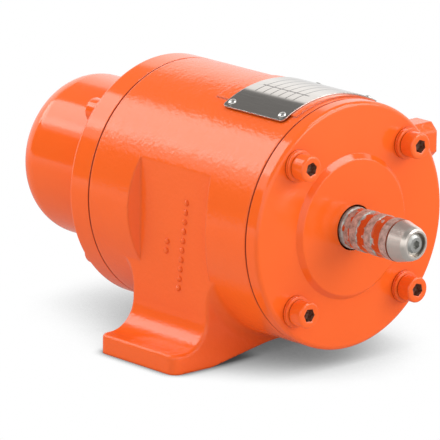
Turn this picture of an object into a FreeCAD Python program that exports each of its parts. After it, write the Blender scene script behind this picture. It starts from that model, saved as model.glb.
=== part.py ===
import FreeCAD, Part
import math
import os
import Sketcher
from types import SimpleNamespace

# Foot-mounted vibration motor: a short, thick-walled cast housing on a one-sided clamping foot, a front
# shield with a grooved drive stub, and a domed rear cover over two eccentric weights.
#
# Row frame: +Z up, +Y along the motor from the drive stub to the rear dome. The origin lies on the surface
# that the foot stands on, under the shaft axis, at the middle of the motor's overall length.
# Every sub-part is drawn in the motor's own frame and placed by one Placement: local Z runs along the shaft
# axis towards the drive stub, local Y is up, and a place along local Z is called a station.

# name, value (mm, or degrees for an angle), what it is
SIZES = [
    # casing
    ("axis_height", 71.0, "shaft axis above the standing surface"),
    ("housing_diameter", 124.0, "outside of housing, front shield and rear flange"),
    ("housing_length", 116.0, "housing between its two joint faces"),
    ("housing_shift", 3.3, "middle of the housing ahead of the middle of the foot"),
    ("stator_bore", 88.0, "bore that holds the stator stack"),
    ("register_diameter", 91.0, "bore in which the shield and the bearing plate centre"),
    ("front_register", 5.0, "depth of the front register"),
    ("rear_register", 12.0, "depth of the rear register"),
    ("joint_chamfer", 0.6, "chamfer on each side of a joint"),
    ("locating_fit", 0.05, "radial clearance between rear cover and bearing plate rim"),
    ("rim_thickness", 8.4, "front shield at its rim"),
    ("rim_round", 2.2, "round on the outer edges of shield and flange"),
    ("boss_base_diameter", 72.8, "raised centre of the front shield at its foot"),
    ("boss_top_diameter", 68.0, "raised centre of the front shield at its face"),
    ("boss_height", 2.5, "height of the raised centre"),
    ("boss_edge", 0.8, "round on the edge of the raised centre"),
    ("shaft_hole_diameter", 22.8, "hole of the front shield round the drive stub"),
    ("shield_hub_diameter", 66.0, "inner hub of the front shield round its bearing"),
    ("shield_hub_root", 3.0, "fillet where that hub leaves the shield"),
    ("flange_thickness", 15.0, "rear cover at its flange"),
    ("dome_diameter", 83.7, "outside of the rear dome"),
    ("dome_length", 69.2, "dome behind the flange"),
    ("dome_corner", 17.8, "outer corner radius of the dome"),
    ("dome_wall", 4.8, "wall of the dome"),
    ("dome_root", 2.0, "fillet where the dome leaves the flange"),
    ("recess_gap", 0.5, "air round the bearing plate's hub in the rear cover"),
    ("recess_end_gap", 1.0, "air behind the bearing plate's hub in the rear cover"),
    # foot
    ("foot_width", 56.0, "foot along the motor"),
    ("foot_root", 6.0, "fillet between foot and housing"),
    ("leg_face", 56.0, "outer faces of the two legs from the axis"),
    ("toe_reach", 77.5, "outer face of the toe from the axis"),
    ("toe_height", 9.8, "thickness of the toe"),
    ("toe_fillet", 15.0, "hollow between leg and toe, where leg and toe leave room for it"),
    ("toe_corner", 4.5, "upright corners of the toe"),
    ("foot_edge", 1.8, "round on the upper edges of the toe"),
    ("toe_pad_inner", 53.0, "inner edge of the flat pad under the toe"),
    ("heel_pad_inner", 32.0, "inner edge of the flat pad on the other side"),
    ("arch_height", 7.4, "height of the arch between the pads"),
    ("arch_half", 10.0, "half length of the level top of the arch"),
    ("trim_allowance", 60.0, "ring cut round the barrel that trims the foot to its width, radially"),
    ("flat_length", 51.0, "leg flat cut into the barrel, along the motor"),
    ("flat_shift", 3.7, "middle of that flat ahead of the middle of the foot"),
    ("flat_taper", 28.0, "slope of the walls of that flat, degrees"),
    ("foot_thread", 6.8, "tapping drill of the holes under the foot"),
    ("foot_thread_depth", 10.0, "depth of the holes under the foot"),
    ("toe_hole_reach", 60.5, "holes on the toe side from the axis"),
    ("heel_hole_reach", 43.5, "holes on the other side from the axis"),
    ("foot_hole_spacing", 34.0, "foot holes along the motor"),
    # cable inlet
    ("inlet_reach", 77.5, "end of the inlet boss from the axis"),
    ("inlet_width", 18.6, "inlet boss across its flats"),
    ("inlet_chamfer", 4.0, "chamfers of the inlet boss"),
    ("inlet_height", 27.0, "centre of the inlet above the axis"),
    ("inlet_setback", 29.5, "centre of the inlet behind the front face"),
    ("inlet_thread", 10.5, "core diameter of the inlet's thread"),
    ("inlet_thread_depth", 16.0, "threaded depth of the inlet"),
    ("lead_hole", 7.0, "hole for the leads, on into the housing"),
    ("lead_hole_overrun", 3.0, "that hole past the wall it breaks through"),
    # joint screws
    ("screw_circle", 103.0, "pitch circle of the joint screws"),
    ("screw_edge", 5.25, "least distance of their axes from the outer surface"),
    ("screw_diameter", 8.0, "thread of the joint screws"),
    ("screw_clearance", 0.5, "radial clearance of their holes"),
    ("screw_head_diameter", 13.0, "socket heads"),
    ("screw_head_height", 8.0, "socket heads"),
    ("screw_socket", 6.0, "hexagon of the sockets across flats"),
    ("screw_socket_depth", 4.0, "depth of the sockets"),
    ("screw_grip", 14.0, "thread of each joint screw inside the housing"),
    ("screw_tip", 0.8, "round on the tip of a joint screw"),
    ("screw_head_round", 1.0, "round on the rim of a socket head"),
    ("tap_runout", 3.0, "tapped holes beyond the screws"),
    ("washer_diameter", 16.6, "wedge-lock washers under the heads"),
    ("washer_thickness", 2.5, "one pair of wedge-lock washers"),
    ("washer_joint", 0.3, "depth of the groove between the halves of a pair"),
    # nameplate
    ("plate_pad_height", 0.8, "raised pad under the nameplate"),
    ("plate_pad_arc", 50.0, "arc of that pad, degrees"),
    ("plate_pad_front", 12.0, "front edge of the pad behind the front face"),
    ("plate_pad_length", 57.3, "pad along the motor"),
    ("plate_pad_corner", 4.0, "corners of the pad"),
    ("plate_thickness", 0.8, "nameplate sheet"),
    ("plate_arc", 60.8, "arc of the nameplate, degrees"),
    ("plate_front", 15.5, "front edge of the nameplate behind the front face"),
    ("plate_length", 43.5, "nameplate along the motor"),
    ("plate_corner", 2.5, "corners of the nameplate"),
    ("rivet_angle", 27.0, "rivets from the top, degrees"),
    ("rivet_inset", 3.8, "rivets from the plate's edges, along the motor"),
    ("rivet_diameter", 2.2, "rivet shanks"),
    ("rivet_head_diameter", 4.2, "rivet heads"),
    ("rivet_head_height", 1.1, "rivet heads"),
    ("rivet_depth", 4.0, "rivet shanks inside the housing"),
    ("rivet_seat", 0.05, "paint film under the rivet heads"),
    # stator and rotor
    ("stack_length", 50.0, "stator and rotor stacks"),
    ("stator_inner", 50.0, "inner diameter of the stator stack"),
    ("slot_count", 18.0, "stator slots"),
    ("slot_width", 4.6, "stator slots"),
    ("slot_depth", 10.5, "stator slots"),
    ("slot_opening", 2.0, "mouth of a stator slot"),
    ("slot_lip", 1.2, "lips at the mouth of a stator slot"),
    ("slot_shoulder", 1.0, "slope from the lips to the slot's full width"),
    ("coil_clearance", 0.3, "slot liner round the conductors"),
    ("overhang_length", 12.5, "end windings beyond the stack"),
    ("overhang_thickness", 11.5, "end windings, radially"),
    ("overhang_round", 4.0, "rounds on the ends of the end windings"),
    ("overhang_heel", 1.5, "round where the end windings meet the stack"),
    ("overhang_lift", 0.5, "end windings clear of the stack"),
    ("air_gap", 0.5, "between rotor and stator"),
    ("cage_bars", 16.0, "bars of the rotor cage"),
    ("cage_bar_diameter", 4.0, "bars of the rotor cage"),
    ("cage_bar_cover", 1.2, "iron over the bars"),
    ("end_ring_length", 7.0, "end rings of the rotor cage"),
    ("end_ring_wall", 6.5, "end rings of the rotor cage, radially"),
    ("end_ring_step", 0.3, "end rings below the rotor's surface"),
    ("end_ring_draft", 0.7, "taper of an end ring over its length"),
    # shaft
    ("rotor_seat_diameter", 30.0, "shaft in the rotor stack"),
    ("journal_diameter", 25.0, "shaft in both bearings"),
    ("seal_land_diameter", 22.0, "shaft under the seal"),
    ("stub_diameter", 21.0, "drive stub"),
    ("stub_length", 35.5, "drive stub ahead of the front face"),
    ("groove_count", 3.0, "grooves of the drive stub"),
    ("groove_start", 4.7, "first groove ahead of the front face"),
    ("groove_pitch", 10.3, "pitch of the grooves"),
    ("groove_width", 4.2, "floor of a groove"),
    ("groove_depth", 0.55, "depth of a groove"),
    ("groove_ramp", 0.8, "sloping side of a groove, along the shaft"),
    ("stub_chamfer", 0.4, "chamfer on the end of the drive stub"),
    ("stub_runout", 0.5, "drive stub behind the front of the seal"),
    ("land_ramp", 0.5, "slope from the drive stub to the seal's land"),
    ("journal_ramp", 1.0, "slope from the seal's land to the front journal"),
    ("journal_overrun", 0.7, "front journal ahead of its bearing"),
    ("weight_seat_diameter", 20.0, "shaft inside the rear dome"),
    ("tail_chamfer", 1.0, "chamfer on the rear end of the shaft"),
    ("nose_seat", 0.5, "nose cone's joint face inside the stub's edge"),
    ("nose_rise", 0.1, "widest part of the nose cone inside the stub's surface"),
    ("nose_shoulder", 0.9, "taper of the nose cone over its rear part"),
    ("nose_rear", 3.675, "rear part of the nose cone"),
    ("nose_front_part", 2.625, "front part of the nose cone"),
    ("nose_front_taper", 0.9, "taper of the nose cone over its front part"),
    ("nose_chamfer", 0.7, "chamfer on the front edge of the nose cone"),
    ("nose_length", 10.5, "nose cone ahead of the stub"),
    ("nose_end_diameter", 15.4, "front face of the nose cone"),
    ("nose_counterbore", 12.2, "recess for the screw head"),
    ("nose_counterbore_depth", 3.6, "recess for the screw head"),
    ("nose_screw_diameter", 6.0, "nose screw thread"),
    ("nose_screw_head", 10.5, "nose screw head"),
    ("nose_screw_head_height", 3.3, "nose screw head"),
    ("nose_screw_socket", 4.0, "hexagon of the nose screw across flats"),
    ("nose_screw_reach", 16.0, "nose screw thread inside the shaft"),
    ("nose_screw_slope", 1.6, "sloping rim of the nose screw head, radially"),
    ("nose_screw_slope_height", 1.1, "sloping rim of the nose screw head, along the axis"),
    ("nose_socket_depth", 2.0, "hexagon of the nose screw"),
    ("nose_tap_runout", 2.0, "tapped hole beyond the nose screw"),
    # seal, bearings
    ("seal_diameter", 35.0, "shaft seal outside"),
    ("seal_width", 7.0, "shaft seal"),
    ("seal_setback", 2.0, "front of the seal behind the front face"),
    ("seal_wall", 1.5, "outer wall of the seal"),
    ("seal_web", 2.0, "front web of the seal"),
    ("seal_throat", 1.2, "front web of the seal clear of the shaft"),
    ("seal_lip_root", 2.5, "back of the lip's root from the shaft"),
    ("seal_lip_back", 1.8, "outside of the lip from the shaft"),
    ("seal_lip_edge", 0.6, "inside of the lip's end from the shaft"),
    ("seal_lip_neck", 0.8, "inside of the lip's neck from the shaft"),
    ("seal_lip_reach", 5.5, "end of the lip behind the front of the seal"),
    ("seal_lip_line", 4.3, "sealing edge behind the front of the seal"),
    ("seal_neck_line", 3.0, "neck of the lip behind the front of the seal"),
    ("seal_running", 0.05, "sealing edge clear of the shaft"),
    ("seat_shoulder", 1.0, "shoulder between seal and wave spring"),
    ("spring_height", 2.0, "wave spring, loaded"),
    ("spring_thickness", 0.6, "sheet of the wave spring"),
    ("spring_waves", 3.0, "waves of the wave spring"),
    ("spring_width", 3.6, "wave spring, radially"),
    ("spring_clearance", 0.4, "wave spring inside its bore, radially"),
    ("front_bearing_diameter", 52.0, "front bearing outside"),
    ("front_bearing_width", 15.0, "front bearing"),
    ("front_ball_diameter", 7.94, "balls of the front bearing"),
    ("front_ball_count", 9.0, "balls of the front bearing"),
    ("rear_bearing_diameter", 62.0, "rear bearing outside"),
    ("rear_bearing_width", 17.0, "rear bearing"),
    ("rear_ball_diameter", 11.5, "balls of the rear bearing"),
    ("rear_ball_count", 7.0, "balls of the rear bearing"),
    ("ball_clearance", 0.05, "running clearance of a ball in its tracks"),
    ("pocket_clearance", 0.1, "running clearance of a ball in its cage"),
    ("cage_rim", 1.3, "cage beyond its pockets, along the axis"),
    ("bearing_round", 0.8, "rounds on the mounting edges of the bearing rings"),
    ("shoulder_round", 0.5, "rounds on the shoulders of the bearing rings"),
    ("plate_hub_wall", 6.5, "bearing plate round the rear bearing"),
    ("plate_lip", 4.0, "lip that holds the rear bearing's outer ring"),
    ("plate_lip_thickness", 2.5, "that lip, along the axis"),
    ("plate_shoulder", 1.0, "rear bearing behind the front of the plate's rim"),
    ("cover_register", 3.0, "bearing plate standing into the rear cover"),
    ("ring_clip_thickness", 1.6, "retaining rings"),
    ("clip_width", 3.4, "retaining ring of the rear bearing, radially"),
    ("clip_groove", 1.6, "depth of its groove"),
    ("clip_gap", 5.0, "half of the opening of that ring"),
    ("clip_land", 2.0, "bearing plate behind that groove"),
    ("shaft_clip_rise", 2.0, "retaining ring of the shaft above the shaft"),
    ("shaft_clip_groove", 0.9, "depth of its groove"),
    ("shaft_clip_gap", 3.0, "half of the opening of that ring"),
    ("o_ring_section", 2.4, "sealing rings at the two joints, along the axis"),
    ("o_ring_groove", 1.2, "depth of their grooves"),
    ("o_ring_round", 0.5, "rounds of a squeezed sealing ring"),
    ("front_ring_setback", 1.7, "groove of the front ring behind the joint"),
    ("plate_ring_setback", 4.0, "groove of the rear ring behind the front of the plate's rim"),
    # eccentric weights
    ("weight_radius", 34.0, "outer radius of the eccentric weights"),
    ("weight_thickness", 22.0, "each eccentric weight"),
    ("weight_hub_radius", 19.0, "hub of an eccentric weight"),
    ("weight_rise", 2.0, "upper edge of a weight's heavy side, below the axis"),
    ("weight_gap", 0.4, "shim gap between the two weights"),
    ("weight_slit", 2.0, "clamping slit of a hub"),
    ("clamp_diameter", 5.0, "clamping screws of the weights"),
    ("clamp_head_diameter", 8.5, "their heads"),
    ("clamp_head_height", 5.0, "their heads"),
    ("clamp_height", 14.6, "clamping screws above the shaft axis"),
    ("clamp_spot_depth", 9.5, "half width of the hub between the spot faces"),
    ("clamp_spot_margin", 0.5, "spot faces beyond the screw heads"),
    ("clamp_head_round", 0.6, "round on the rim of a clamping screw's head"),
    ("spacer_length", 7.0, "spacer between rear bearing and weights"),
    ("spacer_diameter", 31.0, "that spacer"),
    ("key_width", 6.0, "key of the fixed weight"),
    ("key_height", 6.0, "key of the fixed weight"),
    ("key_length", 19.0, "key of the fixed weight"),
    ("key_inset", 1.0, "key behind the front of that weight"),
    ("end_washer_diameter", 30.0, "washer behind the weights"),
    ("end_washer_thickness", 2.0, "washer behind the weights"),
    ("end_washer_round", 0.5, "round on the rim of that washer"),
    ("shaft_tail", 6.0, "shaft beyond the retaining ring"),
]


# ---- sizes that carry both a value and the expression that makes it ----

class Size:
    """A length whose value is known and whose text is an expression over the sheet."""

    def __init__(self, value, text):
        self.value = float(value)
        self.text = text

    def __add__(self, other):
        other = as_size(other)
        return Size(self.value + other.value, "(%s + %s)" % (self.text, other.text))

    def __sub__(self, other):
        other = as_size(other)
        return Size(self.value - other.value, "(%s - %s)" % (self.text, other.text))

    def __mul__(self, other):
        other = as_size(other)
        return Size(self.value * other.value, "(%s * %s)" % (self.text, other.text))

    def __truediv__(self, other):
        other = as_size(other)
        return Size(self.value / other.value, "(%s / %s)" % (self.text, other.text))

    def __neg__(self):
        return Size(-self.value, "(0 - %s)" % self.text)

    def __radd__(self, other):
        return as_size(other) + self

    def __rsub__(self, other):
        return as_size(other) - self

    def __rmul__(self, other):
        return as_size(other) * self


def as_size(number):
    return number if isinstance(number, Size) else Size(number, "%.6f" % number)


def smaller(first, second):
    """The smaller of two lengths."""
    return Size(min(first.value, second.value), "min(%s; %s)" % (first.text, second.text))


def root(size):
    return Size(math.sqrt(size.value), "sqrt(%s)" % size.text)


def leg_of(hypotenuse, other_leg):
    """Second leg of a right-angled triangle."""
    return root(hypotenuse * hypotenuse - other_leg * other_leg)


doc = FreeCAD.newDocument("VibrationMotor")
sheet = doc.addObject("Spreadsheet::Sheet", "Sizes")
for row, (name, value, note) in enumerate(SIZES, start=1):
    sheet.set("A%d" % row, name)
    sheet.set("B%d" % row, "%g" % value)
    sheet.set("C%d" % row, note)
    sheet.setAlias("B%d" % row, name)
doc.recompute()
size = SimpleNamespace(**{name: Size(sheet.get(name), "Sizes." + name) for name, _, _ in SIZES})


# ---- stations and radii that several pieces share ----

housing_radius = size.housing_diameter / 2
front_joint = size.housing_length / 2 + size.housing_shift
rear_joint = size.housing_shift - size.housing_length / 2
front_face = front_joint + size.rim_thickness
rear_face = rear_joint - size.flange_thickness
dome_end = rear_face - size.dome_length
standing_plane = -size.axis_height
screw_reach = smaller(size.screw_circle / 2, housing_radius - size.screw_edge)
screw_radius = size.screw_diameter / 2

seal_front = front_face - size.seal_setback
seal_back = seal_front - size.seal_width
spring_front = seal_back - size.seat_shoulder
front_bearing_front = spring_front - size.spring_height
front_bearing_back = front_bearing_front - size.front_bearing_width

plate_front_face = rear_joint + size.rear_register
rear_bearing_front = plate_front_face - size.plate_shoulder
rear_bearing_back = rear_bearing_front - size.rear_bearing_width
lip_front = rear_bearing_front + size.plate_lip_thickness
plate_hub_end = rear_bearing_back - size.ring_clip_thickness - size.clip_land
cover_recess_end = plate_hub_end - size.recess_end_gap

stack_middle = (front_bearing_back + lip_front) / 2
stack_front = stack_middle + size.stack_length / 2
stack_back = stack_middle - size.stack_length / 2
rotor_radius = size.stator_inner / 2 - size.air_gap

weights_front = rear_bearing_back - size.spacer_length
fixed_weight_back = weights_front - size.weight_thickness
free_weight_front = fixed_weight_back - size.weight_gap
free_weight_back = free_weight_front - size.weight_thickness
end_washer_back = free_weight_back - size.end_washer_thickness
shaft_clip_back = end_washer_back - size.ring_clip_thickness
shaft_back = shaft_clip_back - size.shaft_tail

stub_front = front_face + size.stub_length
nose_front = stub_front + size.nose_length
nose_screw_seat = nose_front - size.nose_counterbore_depth

plate_inner = housing_radius + size.plate_pad_height
plate_outer = plate_inner + size.plate_thickness

# Station 0 is the middle of the foot; the row's origin is below the middle of the whole motor.
overall_middle = (nose_front + dome_end) / 2
motor_place = FreeCAD.Placement(FreeCAD.Vector(0, overall_middle.value, size.axis_height.value),
                                FreeCAD.Rotation(FreeCAD.Vector(1, 0, 0), 90))


# ---- drawing helpers ----

class Arc:
    """An arc of an outline, from the point before it to the point after it, about (x, y)."""

    def __init__(self, x, y, radius, left_turn):
        self.centre = (as_size(x), as_size(y))
        self.radius = as_size(radius)
        self.left_turn = left_turn


def add_body(label, many=False):
    """A body in the motor's own frame; many allows a group of separate equal solids."""
    body = doc.addObject("PartDesign::Body", label)
    body.Label = label
    body.AllowCompound = many
    body.Placement = motor_place
    body.setExpression("Placement.Base.y", overall_middle.text)
    body.setExpression("Placement.Base.z", size.axis_height.text)
    return body


def add_sketch(body, name, role, offset=None, turn=0.0):
    """A sketch on an origin plane: offset along its normal, or turned about its upright axis."""
    sketch = body.newObject("Sketcher::SketchObject", name)
    support = next(item for item in body.Origin.OriginFeatures if item.Role == role)
    sketch.AttachmentSupport = [(support, "")]
    sketch.MapMode = "FlatFace"
    lift = offset if offset is not None else Size(0, "0")
    rotation = FreeCAD.Rotation(FreeCAD.Vector(0, 1, 0), turn)
    normal = rotation.multVec(FreeCAD.Vector(0, 0, 1))
    sketch.AttachmentOffset = FreeCAD.Placement(normal * lift.value, rotation)
    if offset is not None:
        for axis, part in (("x", normal.x), ("z", normal.z)):
            if abs(part) > 1e-9:
                sketch.setExpression("AttachmentOffset.Base." + axis, (offset * part).text)
    return sketch


def axial_sketch(body, name, turn=0.0):
    """Sketch through the shaft axis: x outwards at the angle turn from +X, y along the stations."""
    return add_sketch(body, name, "XZ_Plane", None, turn)


def cross_sketch(body, name, station):
    """Sketch across the shaft at a station: x sideways, y up."""
    return add_sketch(body, name, "XY_Plane", station)


def side_sketch(body, name, distance, turn=0.0):
    """Sketch that faces away from the axis at a distance: x up, y along the stations."""
    return add_sketch(body, name, "YZ_Plane", distance, turn)


def hold(sketch, kind, geometry, point, target):
    """Ties a point's X or Y, or a radius, to its size."""
    if kind == "Radius":
        index = sketch.addConstraint(Sketcher.Constraint(kind, geometry, target.value))
    else:
        index = sketch.addConstraint(Sketcher.Constraint(kind, -1, 1, geometry, point, target.value))
    if "Sizes." in target.text:
        sketch.setExpression("Constraints[%d]" % index, target.text)


def round_points(before, corner, after, radius):
    """Where a round of the given radius leaves the two edges that meet at a corner."""
    square = ((before[0].text == corner[0].text and after[1].text == corner[1].text)
              or (before[1].text == corner[1].text and after[0].text == corner[0].text))
    if square:
        ends = []
        for other in (before, after):
            along = 1 if other[0].text == corner[0].text else 0
            step = math.copysign(1, other[along].value - corner[along].value)
            point = list(corner)
            point[along] = corner[along] + radius * step
            ends.append(tuple(point))
        return ends
    arms = []
    for other in (before, after):
        reach = (other[0] - corner[0], other[1] - corner[1])
        length = root(reach[0] * reach[0] + reach[1] * reach[1])
        arms.append((reach[0] / length, reach[1] / length))
    cosine = arms[0][0] * arms[1][0] + arms[0][1] * arms[1][1]
    run = radius * root((1 + cosine) / (1 - cosine))
    return [(corner[0] + arm[0] * run, corner[1] + arm[1] * run) for arm in arms]


def round_centre(start, end, corner, radius):
    """Centre of that round, as numbers."""
    middle = FreeCAD.Vector((start[0].value + end[0].value) / 2, (start[1].value + end[1].value) / 2, 0)
    tip = FreeCAD.Vector(corner[0].value, corner[1].value, 0)
    half = FreeCAD.Vector(end[0].value, end[1].value, 0).sub(middle).Length
    inward = middle.sub(tip)
    depth = math.sqrt(max(radius.value ** 2 - half ** 2, 0.0))
    return middle.add(inward.normalize().multiply(depth))


def outline(sketch, path):
    """A closed outline: points (x, y), points (x, y, round) and Arcs between points."""
    items = [item if isinstance(item, Arc) else tuple(as_size(number) for number in item) for item in path]
    corners = []
    arcs = []
    for index, item in enumerate(items):
        if isinstance(item, Arc):
            arcs[-1] = (FreeCAD.Vector(item.centre[0].value, item.centre[1].value, 0),
                        item.radius, item.left_turn, item.centre)
            continue
        if len(item) == 2:
            corners.append(item)
            arcs.append(None)
            continue
        before = items[index - 1]
        after = items[(index + 1) % len(items)]
        start, end = round_points(before, item, after, item[2])
        arm = (item[0].value - before[0].value, item[1].value - before[1].value)
        next_arm = (after[0].value - item[0].value, after[1].value - item[1].value)
        left_turn = arm[0] * next_arm[1] - arm[1] * next_arm[0] > 0
        corners += [start, end]
        arcs += [(round_centre(start, end, item, item[2]), item[2], left_turn, None), None]
    places = [FreeCAD.Vector(corner[0].value, corner[1].value, 0) for corner in corners]
    first = sketch.GeometryCount
    ends = []
    for index, arc in enumerate(arcs):
        start = places[index]
        end = places[(index + 1) % len(places)]
        if arc is None:
            sketch.addGeometry(Part.LineSegment(start, end), False)
            ends.append((1, 2))
            continue
        centre, radius, left_turn, _ = arc
        low, high = (start, end) if left_turn else (end, start)
        angles = [math.atan2(point.y - centre.y, point.x - centre.x) for point in (low, high)]
        circle = Part.Circle(centre, FreeCAD.Vector(0, 0, 1), radius.value)
        sketch.addGeometry(Part.ArcOfCircle(circle, angles[0], angles[1]), False)
        ends.append((1, 2) if left_turn else (2, 1))
    count = len(ends)
    for index in range(count):
        follower = (index + 1) % count
        sketch.addConstraint(Sketcher.Constraint("Coincident", first + index, ends[index][1],
                                                 first + follower, ends[follower][0]))
    for index, corner in enumerate(corners):
        hold(sketch, "DistanceX", first + index, ends[index][0], corner[0])
        hold(sketch, "DistanceY", first + index, ends[index][0], corner[1])
    for index, arc in enumerate(arcs):
        if arc is None:
            continue
        if arc[3] is None:
            hold(sketch, "Radius", first + index, 0, arc[1])
            continue
        chord = places[(index + 1) % len(places)].sub(places[index])
        upright = abs(chord.y) > abs(chord.x)
        hold(sketch, "DistanceX" if upright else "DistanceY", first + index, 3, arc[3][0 if upright else 1])


def circle(sketch, x, y, radius):
    x, y, radius = as_size(x), as_size(y), as_size(radius)
    ring = Part.Circle(FreeCAD.Vector(x.value, y.value, 0), FreeCAD.Vector(0, 0, 1), radius.value)
    index = sketch.addGeometry(ring, False)
    hold(sketch, "DistanceX", index, 3, x)
    hold(sketch, "DistanceY", index, 3, y)
    hold(sketch, "Radius", index, 0, radius)


def hexagon(sketch, x, y, across_flats, first_corner=0.0):
    """A regular hexagon with one corner at the given angle."""
    x, y = as_size(x), as_size(y)
    corner_radius = across_flats / math.sqrt(3)
    angles = [math.radians(first_corner + 60 * step) for step in range(6)]
    outline(sketch, [(x + corner_radius * math.cos(angle), y + corner_radius * math.sin(angle))
                     for angle in angles])


def centre_line(sketch, start, end):
    """A construction line that a turned feature is turned about."""
    start = tuple(as_size(number) for number in start)
    end = tuple(as_size(number) for number in end)
    places = [FreeCAD.Vector(point[0].value, point[1].value, 0) for point in (start, end)]
    index = sketch.addGeometry(Part.LineSegment(*places), True)
    for point, place in ((1, start), (2, end)):
        hold(sketch, "DistanceX", index, point, place[0])
        hold(sketch, "DistanceY", index, point, place[1])
    return "Axis0"


def add_feature(body, kind, name, sketch, **settings):
    """A PartDesign feature on a sketch; a Size among its settings becomes an expression."""
    feature = body.newObject("PartDesign::" + kind, name)
    feature.Profile = sketch
    for key, target in settings.items():
        if isinstance(target, Size):
            setattr(feature, key, target.value)
            feature.setExpression(key, target.text)
        else:
            setattr(feature, key, target)
    doc.recompute()
    return feature


def turn_about(body, name, sketch, axis="V_Axis", cut=False, angle=360.0):
    """Revolution, or Groove, of a sketch about one of its axes."""
    kind = "Groove" if cut else "Revolution"
    part_turn = isinstance(angle, Size)
    return add_feature(body, kind, name, sketch, ReferenceAxis=(sketch, [axis]), Angle=angle,
                       Midplane=part_turn)


def turned_body(label, path):
    """A body turned about the shaft axis from one outline of (radius, station) points."""
    body = add_body(label)
    sketch = axial_sketch(body, label + "_section")
    outline(sketch, path)
    turn_about(body, label + "_turned", sketch)
    return body


def ring_of(body, features, count):
    """Repeats features about the shaft axis."""
    pattern = body.newObject("PartDesign::PolarPattern", body.Label + "_ring")
    pattern.Originals = features
    axis = next(item for item in body.Origin.OriginFeatures if item.Role == "Z_Axis")
    pattern.Axis = (axis, [""])
    pattern.Angle = 360
    pattern.Occurrences = int(round(as_size(count).value))
    body.Tip = pattern
    doc.recompute()
    return pattern


def edges_where(feature, test):
    """Names of a feature's edges whose bounding box passes a test."""
    return ["Edge%d" % (index + 1) for index, edge in enumerate(feature.Shape.Edges) if test(edge)]


def dress(body, kind, name, feature, edges, **settings):
    """Fillet or Chamfer on named edges of a feature."""
    dressing = body.newObject("PartDesign::" + kind, name)
    dressing.Base = (feature, edges)
    for key, target in settings.items():
        setattr(dressing, key, target.value)
        dressing.setExpression(key, target.text)
    doc.recompute()
    return dressing


# ---- motor housing: barrel, foot, inlet boss, nameplate pad, then its bores and holes ----

housing = add_body("motor_housing")

barrel_sketch = axial_sketch(housing, "barrel_section")
chamfer = size.joint_chamfer
outline(barrel_sketch, [
    (0, rear_joint),
    (housing_radius - chamfer, rear_joint),
    (housing_radius, rear_joint + chamfer),
    (housing_radius, front_joint - chamfer),
    (housing_radius - chamfer, front_joint),
    (0, front_joint),
])
turn_about(housing, "barrel", barrel_sketch)

# The foot's section across the shaft: a toe on one side, a heel pad on the other, an arch between.
foot_sketch = cross_sketch(housing, "foot_section", -(size.foot_width / 2 + size.foot_root))
toe_top = standing_plane + size.toe_height
arch_top = standing_plane + size.arch_height
root_height = leg_of(housing_radius + size.foot_root, size.leg_face)
# The hollow takes no more than this share of the toe's top or of the leg above it.
ROOM = 0.8
toe_room = smaller(size.toe_reach - size.leg_face, size.axis_height - size.toe_height - root_height) * ROOM
outline(foot_sketch, [
    (-size.toe_reach, standing_plane),
    (-size.toe_pad_inner, standing_plane),
    (-size.arch_half, arch_top),
    (size.arch_half, arch_top),
    (size.heel_pad_inner, standing_plane),
    (size.leg_face, standing_plane),
    (size.leg_face, 0),
    (-size.leg_face, 0),
    (-size.leg_face, toe_top, smaller(size.toe_fillet, toe_room)),
    (-size.toe_reach, toe_top),
])
add_feature(housing, "Pad", "foot", foot_sketch, Length=size.foot_width + 2 * size.foot_root)

# Cutting the foot back to its width leaves a hollow fillet all round the barrel.
trim_sketch = axial_sketch(housing, "foot_trim_section")
trim_end = housing_radius + size.trim_allowance
for side in (1, -1):
    foot_side = size.foot_width / 2 * side
    root_side = (size.foot_width / 2 + size.foot_root) * side
    clear_side = (size.foot_width / 2 + size.foot_root + 2) * side
    outline(trim_sketch, [
        (housing_radius, root_side),
        Arc(housing_radius + size.foot_root, root_side, size.foot_root, side > 0),
        (housing_radius + size.foot_root, foot_side),
        (trim_end, foot_side),
        (trim_end, clear_side),
        (housing_radius, clear_side),
    ])
foot_trim = turn_about(housing, "foot_trim", trim_sketch, cut=True)


def near(number, target, slack=0.02):
    return abs(number - target.value) < slack


def is_toe_corner(edge):
    box = edge.BoundBox
    return near(box.XMin, -size.toe_reach) and near(box.XMax, -size.toe_reach) and box.ZLength < 0.01


def is_toe_top(edge):
    box = edge.BoundBox
    return near(box.YMin, toe_top) and near(box.YMax, toe_top) and box.XMax < -size.leg_face.value - 1


toe_corners = dress(housing, "Fillet", "toe_corners", foot_trim,
                    edges_where(foot_trim, is_toe_corner), Radius=size.toe_corner)
dress(housing, "Fillet", "toe_edge", toe_corners,
      edges_where(toe_corners, is_toe_top), Radius=size.foot_edge)

# Flats: the legs' outer faces run up into the barrel as shallow pockets with sloping walls, which
# begin above the hollow of the toe.
flat_half = size.flat_length / 2
for name, side in (("toe_side_flat", -1), ("heel_side_flat", 1)):
    flat_sketch = side_sketch(housing, name + "_section", size.leg_face * side)
    outline(flat_sketch, [
        (-root_height, size.flat_shift - flat_half),
        (root_height, size.flat_shift - flat_half),
        (root_height, size.flat_shift + flat_half),
        (-root_height, size.flat_shift + flat_half),
    ])
    add_feature(housing, "Pocket", name, flat_sketch, Length=housing_radius - size.leg_face + 1,
                TaperAngle=size.flat_taper, Reversed=side > 0)

inlet_station = front_face - size.inlet_setback
inlet_half = size.inlet_width / 2
inlet_sketch = side_sketch(housing, "inlet_section", Size(0, "0"))
inlet_flat = inlet_half - size.inlet_chamfer
inlet_path = []
for across, along in ((1, 1), (-1, 1), (-1, -1), (1, -1)):
    ends = [(inlet_half * across, inlet_flat * along), (inlet_flat * across, inlet_half * along)]
    if across * along < 0:
        ends.reverse()
    inlet_path += [(size.inlet_height + up, inlet_station + on) for up, on in ends]
outline(inlet_sketch, inlet_path)
add_feature(housing, "Pad", "inlet_boss", inlet_sketch, Length=size.inlet_reach)

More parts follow.
